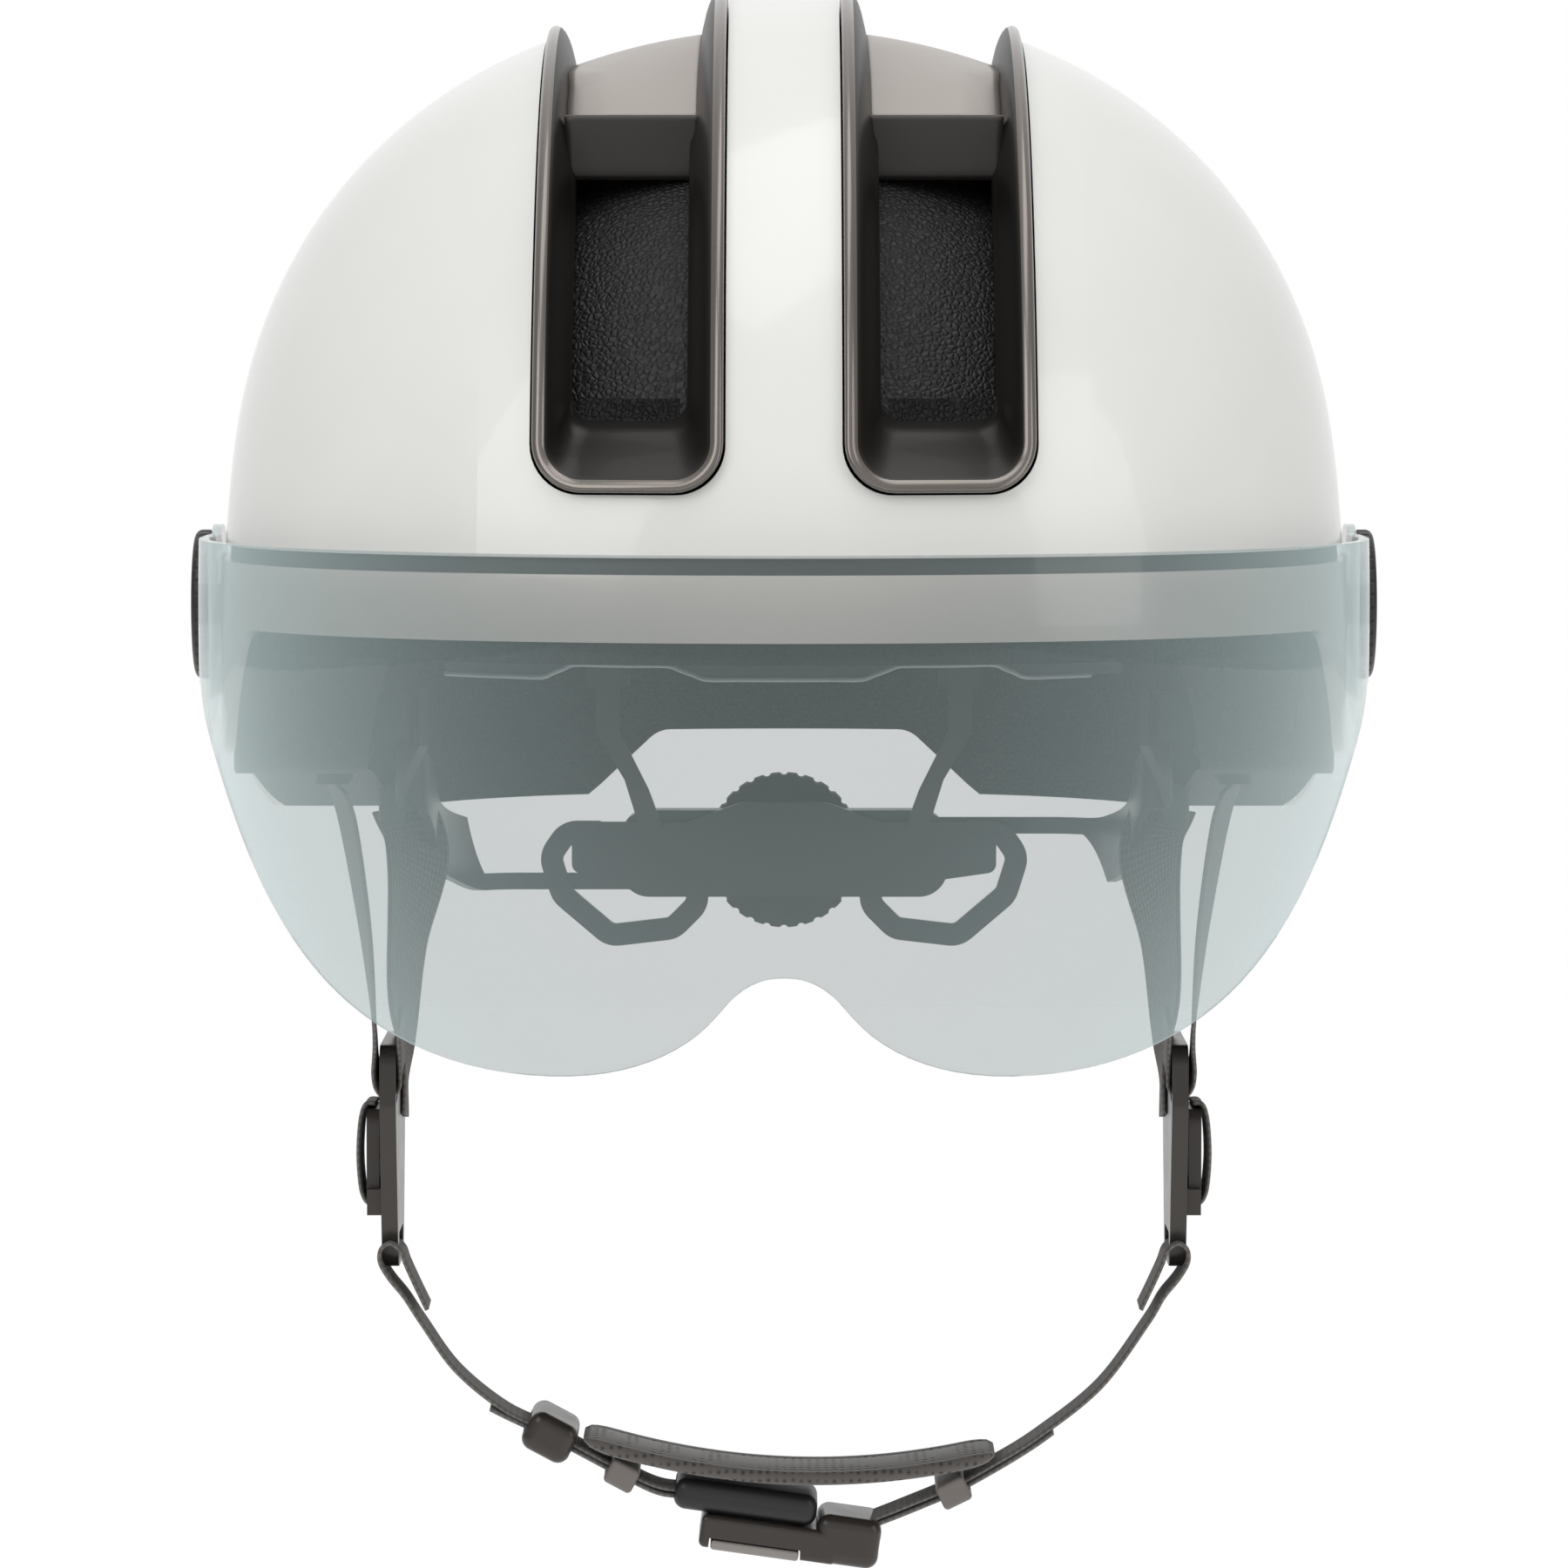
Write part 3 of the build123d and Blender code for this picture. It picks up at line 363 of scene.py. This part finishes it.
LOOKS = {
    "shell": ["outer_shell"],
    "band": ["lower_shell"],
    "strip": ["seam_strip"],
    "frame": ["vent_frame_left", "vent_frame_right", "vent_bridge_left", "vent_bridge_right"],
    "foam": ["eps_liner"],
    "black": [
        "rear_cradle", "dial_housing", "dial_pinion", "side_arm_left", "side_arm_right",
        "yoke_anchor_left", "yoke_anchor_right", "temple_anchor_left", "temple_anchor_right",
        "front_strap_anchor_left", "front_strap_anchor_right",
        "rear_strap_anchor_left", "rear_strap_anchor_right",
    ],
    "headband": ["front_headband"],
    "knob": ["visor_knob_left", "visor_knob_right", "buckle_body"],
    "rubber": ["dial_knob"],
    "divider": [
        "strap_divider_left", "strap_divider_right",
        "divider_lever_left", "divider_lever_right",
        "strap_slider", "buckle_tongue",
    ],
    "release": ["buckle_release"],
    "loop": ["strap_loop_left", "strap_loop_right"],
    "steel": ["divider_pin_left", "divider_pin_right", "buckle_magnet_upper", "buckle_magnet_lower"],
    "nylon": ["pivot_insert_left", "pivot_insert_right"],
    "washer": ["visor_washer_left", "visor_washer_right"],
    "webbing": [
        "front_strap_left", "front_strap_right",
        "rear_strap_left", "rear_strap_right",
        "chin_strap_left", "chin_strap_right",
    ],
    "pad": ["brow_pad", "crown_pad", "top_pad_left", "top_pad_right", "side_pad_left", "side_pad_right"],
    "mesh": ["chin_pad"],
    "hook": ["hook_dots"],
    "lens": ["visor"],
}

for look, names in LOOKS.items():
    for name in names:
        node = nodes[name]
        node.data.materials.clear()
        node.data.materials.append(mat[look])

# ---- Mesh helpers --------------------------------------------------------------------------------


def make_piece(name, points, faces, look, body, replaces, uvs=None):
    """Mesh piece from points in millimetres, one smooth surface, riding on a CAD body."""
    mesh = bpy.data.meshes.new(name)
    mesh.from_pydata([Vector(point) * MM for point in points], [], faces)
    if uvs:
        layer = mesh.uv_layers.new(name="weave")
        for loop in mesh.loops:
            layer.data[loop.index].uv = uvs[loop.vertex_index]
    shaped = bmesh.new()
    shaped.from_mesh(mesh)
    bmesh.ops.recalc_face_normals(shaped, faces=shaped.faces)
    shaped.to_mesh(mesh)
    shaped.free()
    mesh.shade_smooth()
    piece = bpy.data.objects.new(name, mesh)
    scene.collection.objects.link(piece)
    mesh.materials.append(mat[look])
    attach(piece, body)
    if replaces:
        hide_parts(*replaces)
    return piece


def grid_faces(rows, columns, closed_rows=False, closed_columns=False):
    """Quads of a grid whose point index is row * columns + column."""
    faces = []
    for row in range(rows if closed_rows else rows - 1):
        for column in range(columns if closed_columns else columns - 1):
            ahead, beside = (row + 1) % rows, (column + 1) % columns
            faces.append((row * columns + column, row * columns + beside,
                          ahead * columns + beside, ahead * columns + column))
    return faces


def smooth_run(points, steps):
    """Catmull-Rom curve through the points."""
    spots = [Vector(point) for point in points]
    ends = [2 * spots[0] - spots[1]] + spots + [2 * spots[-1] - spots[-2]]
    run = []
    for a, b, c, d in zip(ends, ends[1:], ends[2:], ends[3:]):
        for step in range(steps):
            t = step / steps
            run.append(0.5 * (2 * b + (c - a) * t + (2 * a - 5 * b + 4 * c - d) * t ** 2
                              + (3 * b - a - 3 * c + d) * t ** 3))
    run.append(spots[-1])
    return run


# Selvedge of the webbing: in from its edge, share of half the thickness
SELVEDGE = [(0, 0), (0.15, 0.75), (0.5, 1.0), (1.3, 0.9)]
WEB_MIDDLE = 0.86


def flat_section(width, thickness):
    """Outline of webbing cut across: rounded selvedges a little thicker than the middle."""
    half, edge = width / 2, thickness / 2
    upper = [(-half + inwards, share * edge) for inwards, share in SELVEDGE]
    upper += [(-half * share, WEB_MIDDLE * edge) for share in (0.6, 0.3, 0.0)]
    outline = upper + [(-across, up) for across, up in reversed(upper[:-1])]
    return outline + [(across, -up) for across, up in reversed(outline[1:-1])]


def ribbon(name, path, sides, width, thickness, look, body, replaces=(), steps=8, section=None):
    """Strap swept along a curve; sides are its width directions at the path's points."""
    run = smooth_run(path, steps)
    across = smooth_run(sides, steps)
    outline = section or flat_section(width, thickness)
    points, uvs, along = [], [], 0.0
    for index, spot in enumerate(run):
        ahead = run[min(index + 1, len(run) - 1)] - run[max(index - 1, 0)]
        ahead.normalize()
        side = (across[index] - ahead * across[index].dot(ahead)).normalized()
        up = ahead.cross(side)
        along += (spot - run[index - 1]).length if index else 0
        for offset, lift in outline:
            points.append(spot + side * offset + up * lift)
            uvs.append((offset * MM, along * MM))
    count = len(outline)
    faces = grid_faces(len(run), count, closed_columns=True)
    faces.append(tuple(range(count)))
    faces.append(tuple(reversed(range(len(points) - count, len(points)))))
    return make_piece(name, points, faces, look, body, replaces, uvs)


def mirrored(points):
    return [(-x, y, z) for x, y, z in points]


# ---- The dome, as the CAD turns it: millimetres --------------------------------------------------

DOME_AXIS_Z = -17.0
SHOULDER_CENTRE = (14.96, 40.02)
SHOULDER_RADIUS = 91.0
CROWN_CENTRE = 9.49
CROWN_RADIUS = 125.0
CROWN_SHARE = cos(radians(63.9))


def dome_radius(x, depth):
    """Distance from the dome's cross axis to its surface at one place across."""
    across = abs(x)
    radius = CROWN_RADIUS - depth
    if across <= radius * CROWN_SHARE:
        return CROWN_CENTRE + sqrt(radius ** 2 - across ** 2)
    shoulder = SHOULDER_RADIUS - depth
    # Kept just short of the end of the shoulder's arc
    reach = min(across - SHOULDER_CENTRE[0], 0.999 * shoulder)
    return SHOULDER_CENTRE[1] + sqrt(shoulder ** 2 - reach ** 2)


def on_dome(x, angle, depth):
    """Point of the dome's skin: angle 0 is the brow, half a turn the back."""
    radius = dome_radius(x, depth)
    return (x, -radius * cos(angle), DOME_AXIS_Z + radius * sin(angle))


def angle_at(x, z, depth):
    return asin(min(1.0, (z - DOME_AXIS_Z) / dome_radius(x, depth)))


# ---- Vent frames and bridges ---------------------------------------------------------------------

VENT_X = 28.0
VENT_HALF = 17.2
VENT_FRONT_Z = 24.5
VENT_BACK_Z = 40.0
VENT_CORNER = 9.0
INNER_CORNER = 4.0
CORNER_STEPS = 10
SIDE_STEPS = 72
END_STEPS = 8

FRAME_WALL = 0.0009
FUNNEL_ROW = 6
FRONT_SLOPE = 0.36

# Cut through the frame, from under the shell over the lip and down the funnel: inset, depth.
# The funnel's painted shade starts at FUNNEL_ROW.
FRAME_SECTION = [
    (0.3, 3.0),
    (0.0, 1.2),
    (0.0, -1.2),
    (0.2, -1.85),
    (0.75, -2.2),
    (1.5, -2.1),
    (2.3, -1.5),
    (3.0, -0.5),
    (3.6, 0.8),
    (4.1, 2.3),
    (4.6, 4.4),
    (5.2, 7.0),
    (5.7, 9.2),
    (6.2, 10.5),
    (6.5, 11.0),
    (6.7, 12.0),
    (6.7, 16.0),
]


def paint_rows(piece, look, first_face):
    """Give the faces from first_face onwards a second material: the painted shade of a vent's funnel or a
    bar's front face.
    """
    piece.data.materials.append(mat[look])
    for face in piece.data.polygons:
        if face.index >= first_face:
            face.material_index = 1


def skin_angle(x, z, depth, back):
    angle = angle_at(x, z, depth)
    return pi - angle if back else angle


def vent_loop(inset, depth):
    """Closed loop of skin points round the left vent, moved in by inset and down by depth."""
    half = VENT_HALF - inset
    corner = max(VENT_CORNER - inset, INNER_CORNER)
    low = VENT_FRONT_Z + inset + FRONT_SLOPE * max(0.0, depth)
    high = VENT_BACK_Z + inset
    turns = [step / CORNER_STEPS * pi / 2 for step in range(CORNER_STEPS)]
    loop = []
    for side, first, last, back in ((1, low, high, False), (-1, high, low, True)):
        for step in range(END_STEPS):
            x = VENT_X - side * (half - corner) * (1 - 2 * step / END_STEPS)
            loop.append((x, skin_angle(x, first, depth, back)))
        for turn in turns:
            x = VENT_X + side * (half - corner * (1 - sin(turn)))
            loop.append((x, skin_angle(x, first + corner * (1 - cos(turn)), depth, back)))
        x = VENT_X + side * half
        start = skin_angle(x, first + corner, depth, back)
        end = skin_angle(x, last + corner, depth, not back)
        for step in range(SIDE_STEPS):
            loop.append((x, start + (end - start) * step / SIDE_STEPS))
        for turn in turns:
            x = VENT_X + side * (half - corner * (1 - cos(turn)))
            loop.append((x, skin_angle(x, last + corner * (1 - sin(turn)), depth, not back)))
    return [on_dome(x, angle, depth) for x, angle in loop]


def add_wall(piece, thickness):
    """Give an open sheet its thickness, on the inner side."""
    wall = piece.modifiers.new("wall", "SOLIDIFY")
    wall.thickness = thickness
    wall.offset = -1


def add_vent_frames():
    loops = [vent_loop(inset, depth) for inset, depth in FRAME_SECTION]
    columns = len(loops[0])
    left = [point for loop in loops for point in loop]
    faces = grid_faces(len(loops), columns, closed_columns=True)
    for side, points in (("left", left), ("right", mirrored(left))):
        piece = make_piece(f"vent_trim_{side}", points, faces, "frame", "helmet",
                           [f"vent_frame_{side}"])
        # Painted shade inside each vent's funnel
        paint_rows(piece, "funnel", FUNNEL_ROW * columns)
        add_wall(piece, FRAME_WALL)


BRIDGE_HALF = 12.8
BRIDGE_FRONT_Y = -62.0
BRIDGE_BACK_Y = 46.0
BRIDGE_DEPTH = 6.3
BRIDGE_TOP_Z = 93.2
BRIDGE_EDGE = 1.2
BRIDGE_EDGE_TURNS = (15, 35, 55, 75, 90)
BRIDGE_FACE_DROPS = (2.0, 5.0, 8.0, 10.0)
BRIDGE_WALL = 0.0016
BRIDGE_ROWS = 34
BRIDGE_COLUMNS = 16

# Turned-in foot of the bridge's front face: back from the face, down from its last drop
BRIDGE_FOOT = ((0.8, 0.9), (3.0, 1.0))

# The top is as curved across as the dome behind CURVED_Y and straight across ahead of STRAIGHT_Y,
# where it stands at most PROUD over the dome. Behind that, the limit rises by PROUD_RISE.
CURVED_Y = -10
STRAIGHT_Y = -50
PROUD_Y = -40
PROUD = 1.5
PROUD_RISE = 0.3


def bridge_section():
    """Side view of the bridge, back to front: y, z if it is level across, and how curved it is across."""
    front = BRIDGE_FRONT_Y + BRIDGE_EDGE
    section = []
    for row in range(BRIDGE_ROWS):
        y = BRIDGE_BACK_Y + (front - BRIDGE_BACK_Y) * row / (BRIDGE_ROWS - 1)
        flat = min(1.0, max(0.0, (CURVED_Y - y) / (CURVED_Y - STRAIGHT_Y)))
        section.append((y, None, 1 - flat ** 2 * (3 - 2 * flat)))
    for turn in BRIDGE_EDGE_TURNS:
        bend = radians(turn)
        section.append((front - BRIDGE_EDGE * sin(bend), BRIDGE_TOP_Z - BRIDGE_EDGE * (1 - cos(bend)), 0))
    corner_z = BRIDGE_TOP_Z - BRIDGE_EDGE
    for drop in BRIDGE_FACE_DROPS:
        section.append((BRIDGE_FRONT_Y, corner_z - drop, 0))
    for back, down in BRIDGE_FOOT:
        section.append((BRIDGE_FRONT_Y + back, corner_z - BRIDGE_FACE_DROPS[-1] - down, 0))
    return section


def bridge_height(x, y, curve):
    """Height of the bridge's top, between the dome's own curve across and a straight line across."""
    skin = DOME_AXIS_Z + sqrt(dome_radius(x, BRIDGE_DEPTH) ** 2 - y ** 2)
    straight = DOME_AXIS_Z + sqrt(dome_radius(VENT_X, BRIDGE_DEPTH) ** 2 - y ** 2)
    limit = skin + PROUD + max(0.0, PROUD_RISE * (y - PROUD_Y))
    return min(curve * skin + (1 - curve) * straight, limit)


def add_bridges():
    left = []
    for y, z, curve in bridge_section():
        for column in range(BRIDGE_COLUMNS + 1):
            x = VENT_X - BRIDGE_HALF + 2 * BRIDGE_HALF * column / BRIDGE_COLUMNS
            left.append((x, y, bridge_height(x, y, curve) if z is None else z))
    faces = grid_faces(len(left) // (BRIDGE_COLUMNS + 1), BRIDGE_COLUMNS + 1)
    for side, points in (("left", left), ("right", mirrored(left))):
        piece = make_piece(f"vent_bar_{side}", points, faces, "bar", "helmet",
                           [f"vent_bridge_{side}"])
        # Painted shade on the bar's front face and its rounded front edge, so that edge shows no highlight
        paint_rows(piece, "face", BRIDGE_ROWS * BRIDGE_COLUMNS)
        add_wall(piece, BRIDGE_WALL)


# ---- Webbing -------------------------------------------------------------------------------------

PLY = 0.85
WEB_WIDTH = 15.0
CHIN_Y = -2.0
DIVIDER_Y = 5.0
ALONG_Y = (0, 1, -0.04)

# Routes in (x, z). The chin strap starts at its short tail and goes through the divider's slot.
DIVIDER_LOOP = [
    (69.4, -136.8),
    (71.6, -132.2),
    (73.4, -128.2),
    (74.4, -125.6),
    (76.4, -124.1),
    (78.2, -125.2),
    (78.4, -127.8),
    (76.6, -131.0),
    (73.7, -134.6),
]
RIGHT_RUN = [
    (70.3, -139.8),
    (63.8, -148.9),
    (54.6, -156.5),
    (45.2, -161.1),
    (31.5, -168.4),
    (24.6, -171.6),
    (19.0, -172.4),
]
RIGHT_PLY = [
    (19.0, -173.6),
    (24.6, -172.8),
    (31.5, -169.5),
    (45.2, -162.2),
    (53.0, -158.5),
    (57.2, -156.4),
]
LEFT_RUN = [
    (70.6, -139.8),
    (61.5, -152.2),
    (49.6, -161.8),
    (41.0, -167.2),
    (33.0, -171.6),
    (24.0, -175.4),
    (16.0, -178.6),
]
LEFT_PLY = [
    (16.0, -179.8),
    (24.2, -176.6),
    (33.0, -172.8),
    (41.4, -168.2),
    (48.2, -164.0),
    (52.4, -161.0),
]
LEVER_LOOP = [
    (79.6, -97.4),
    (81.5, -97.7),
    (82.5, -101.0),
    (82.9, -107.5),
    (82.5, -113.5),
    (81.8, -116.0),
    (81.0, -117.0),
]

# Side straps on the left: each point of the route, and the strap's width direction there
FRONT_ROUTE = [
    ((86, -24, -33), (0.28, 1, 0)),
    ((83.6, -20.5, -42), (0.26, 1, 0)),
    ((81.0, -13, -62), (0.18, 1, 0)),
    ((79.6, -5.8, -82), (0.06, 1, 0.1)),
    ((79.2, -4.6, -90.5), (0, 1, 0.24)),
    ((76.9, -4.4, -93.6), (0, 1, 0.24)),
    ((74.6, -4.4, -91.4), (0, 1, 0.24)),
    ((74.4, -5.0, -86), (0, 1, 0.24)),
    ((74.6, -6.2, -80), (0, 1, 0.24)),
]
REAR_ROUTE = [
    ((76.2, 49, -43), (-0.78, 0.65, 0.3)),
    ((73.6, 45, -51), (-0.64, 0.75, 0.3)),
    ((75.0, 33, -66), (-0.36, 0.9, 0.1)),
    ((75.4, 20, -82), (-0.24, 0.95, 0)),
    ((74.6, 14.2, -92), (0, 1, -0.24)),
    ((74.5, 12.6, -101), (0, 1, -0.1)),
]


def level_web(name, sign, y, route, body, replaces=()):
    """Webbing that lies in one plane across the helmet, with its width along Y."""
    path = [(sign * x, y, z) for x, z in route]
    ribbon(name, path, [ALONG_Y] * len(path), WEB_WIDTH, PLY, "webbing", body, replaces)


def add_webbing():
    """Chin straps with the ply back from the buckle, loops over the levers, and the side straps."""
    for side, sign, run, ply in (("right", -1, RIGHT_RUN, RIGHT_PLY), ("left", 1, LEFT_RUN, LEFT_PLY)):
        level_web(f"chin_web_{side}", sign, CHIN_Y, DIVIDER_LOOP + run, "helmet", [f"chin_strap_{side}"])
        level_web(f"chin_ply_{side}", sign, CHIN_Y, ply, "helmet")
    for side, sign in (("left", 1), ("right", -1)):
        level_web(f"lever_web_{side}", sign, DIVIDER_Y, LEVER_LOOP, f"divider_lever_{side}")
        for name, route in (("front", FRONT_ROUTE), ("rear", REAR_ROUTE)):
            path = [point for point, _ in route]
            across = [direction for _, direction in route]
            if sign < 0:
                path, across = mirrored(path), mirrored(across)
            ribbon(f"{name}_web_{side}", path, across, WEB_WIDTH, PLY, "webbing", "helmet",
                   [f"{name}_strap_{side}"])


# ---- Headband bead, a painted highlight ----------------------------------------------------------

# Left half of the headband's lower edge: x, z
HEADBAND_EDGE = [(0, -9.5), (14, -9.5), (21, -7.1), (38, -7.1), (44, -9.5), (62, -9.5)]
HEADBAND_DEPTH = 26.3
BEAD_RADIUS = 0.5
BEAD_SIDES = 8


def add_headband_painted_highlight():
    """Pale rounded bead along the lower edge of the front headband: a painted highlight of that edge."""
    edge = [(-x, z) for x, z in reversed(HEADBAND_EDGE[1:])] + HEADBAND_EDGE
    path = []
    for (x, z), (next_x, next_z) in zip(edge, edge[1:]):
        for share in (0, 1 / 3, 2 / 3):
            place = x + (next_x - x) * share
            height = z + (next_z - z) * share
            path.append(on_dome(place, angle_at(place, height, HEADBAND_DEPTH), HEADBAND_DEPTH))
    turns = [2 * pi * side / BEAD_SIDES for side in range(BEAD_SIDES)]
    bead = [(BEAD_RADIUS * cos(turn), BEAD_RADIUS * sin(turn)) for turn in turns]
    ribbon("headband_painted_highlight", path, [(0, 0, 1)] * len(path), 0, 0, "welt", "helmet",
           steps=3, section=bead)


# ---- Pads ----------------------------------------------------------------------------------------

# The chin pad's middle line passes through these: x, z
CHIN_PAD_LINE = ((-39.0, -162.0), (0.0, -169.2), (41.0, -165.0))
CHIN_PAD_ROWS = 64
CHIN_PAD_TAPER = 14
CHIN_PAD_END_WIDTH = 0.72
CHIN_PAD_END_HEIGHT = 0.15
CHIN_PAD_UNDERSIDE = 0.9

# Half of the chin pad cut across, from the welt at its edge to its crown: across, up
CHIN_PAD_SECTION = [
    (-11, 0),
    (-10.8, 0.9),
    (-10.2, 1.35),
    (-9.3, 1.25),
    (-8.6, 0.95),
    (-7.6, 1.2),
    (-5, 1.6),
    (-2.5, 1.72),
    (0, 1.75),
]


def parabola(x, spots):
    """Height at x of the parabola through three points."""
    (x0, z0), (x1, z1), (x2, z2) = spots
    first = z0 * (x - x1) * (x - x2) / ((x0 - x1) * (x0 - x2))
    second = z1 * (x - x0) * (x - x2) / ((x1 - x0) * (x1 - x2))
    third = z2 * (x - x0) * (x - x1) / ((x2 - x0) * (x2 - x1))
    return first + second + third


def add_chin_pad():
    """Sleeve on the strap: crowned mesh with a raised welt along each edge and closed, rounded ends."""
    section = CHIN_PAD_SECTION + [(-across, up) for across, up in reversed(CHIN_PAD_SECTION[:-1])]
    section += [(across, -CHIN_PAD_UNDERSIDE * up) for across, up in reversed(section[1:-1])]
    start, end = CHIN_PAD_LINE[0][0], CHIN_PAD_LINE[-1][0]
    points = []
    for row in range(CHIN_PAD_ROWS + 1):
        share = row / CHIN_PAD_ROWS
        x = start + (end - start) * share
        z = parabola(x, CHIN_PAD_LINE)
        inwards = min(1.0, min(share, 1 - share) * CHIN_PAD_TAPER)
        swell = sqrt(max(0.0, 1 - (1 - inwards) ** 2))
        width = CHIN_PAD_END_WIDTH + (1 - CHIN_PAD_END_WIDTH) * swell
        height = CHIN_PAD_END_HEIGHT + (1 - CHIN_PAD_END_HEIGHT) * swell
        for across, up in section:
            points.append((x, CHIN_Y + across * width, z + up * height))
    count = len(section)
    faces = grid_faces(CHIN_PAD_ROWS + 1, count, closed_columns=True)
    faces.append(tuple(range(count)))
    faces.append(tuple(reversed(range(len(points) - count, len(points)))))
    pad = make_piece("chin_cushion", points, faces, "mesh", "helmet", ["chin_pad"])


PAD_VOXEL = 0.002
PAD_SMOOTHING = 6
PAD_PRESSURE = 4.0
PAD_TRAVEL = 0.0015
PAD_FRAMES = 20


def swell_pad(piece):
    """Blow the pad up with cloth, hold each point near its start, and keep the result as its mesh."""
    before = [vertex.co.copy() for vertex in piece.data.vertices]
    cloth = piece.modifiers.new("cloth", "CLOTH")
    cloth.settings.use_pressure = True
    cloth.settings.uniform_pressure_force = PAD_PRESSURE
    cloth.settings.effector_weights.gravity = 0
    cloth.point_cache.frame_end = PAD_FRAMES
    for step in range(1, PAD_FRAMES + 1):
        scene.frame_set(step)
    posed = piece.evaluated_get(bpy.context.evaluated_depsgraph_get())
    after = [vertex.co.copy() for vertex in posed.data.vertices]
    piece.modifiers.remove(cloth)
    scene.frame_set(1)
    for vertex, start, end in zip(piece.data.vertices, before, after):
        move = end - start
        if move.length > PAD_TRAVEL:
            move *= PAD_TRAVEL / move.length
        vertex.co = start + move


def add_pads():
    """Rounded cushions from the plain CAD pads."""
    for name in LOOKS["pad"]:
        piece = bpy.data.objects.new(f"{name}_cushion", nodes[name].data.copy())
        scene.collection.objects.link(piece)
        remesh = piece.modifiers.new("remesh", "REMESH")
        remesh.mode = "VOXEL"
        remesh.voxel_size = PAD_VOXEL
        smooth = piece.modifiers.new("smooth", "SMOOTH")
        smooth.iterations = PAD_SMOOTHING
        solid = piece.evaluated_get(bpy.context.evaluated_depsgraph_get())
        mesh = bpy.data.meshes.new_from_object(solid)
        piece.modifiers.clear()
        piece.data = mesh
        swell_pad(piece)
        mesh.shade_smooth()
        mesh.materials.clear()
        mesh.materials.append(mat["pad"])
        rounded = piece.modifiers.new("rounded", "SUBSURF")
        rounded.levels = rounded.render_levels = 1
        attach(piece, "helmet")
        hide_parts(name)


add_vent_frames()
add_bridges()
add_webbing()
add_chin_pad()
add_headband_painted_highlight()
add_pads()
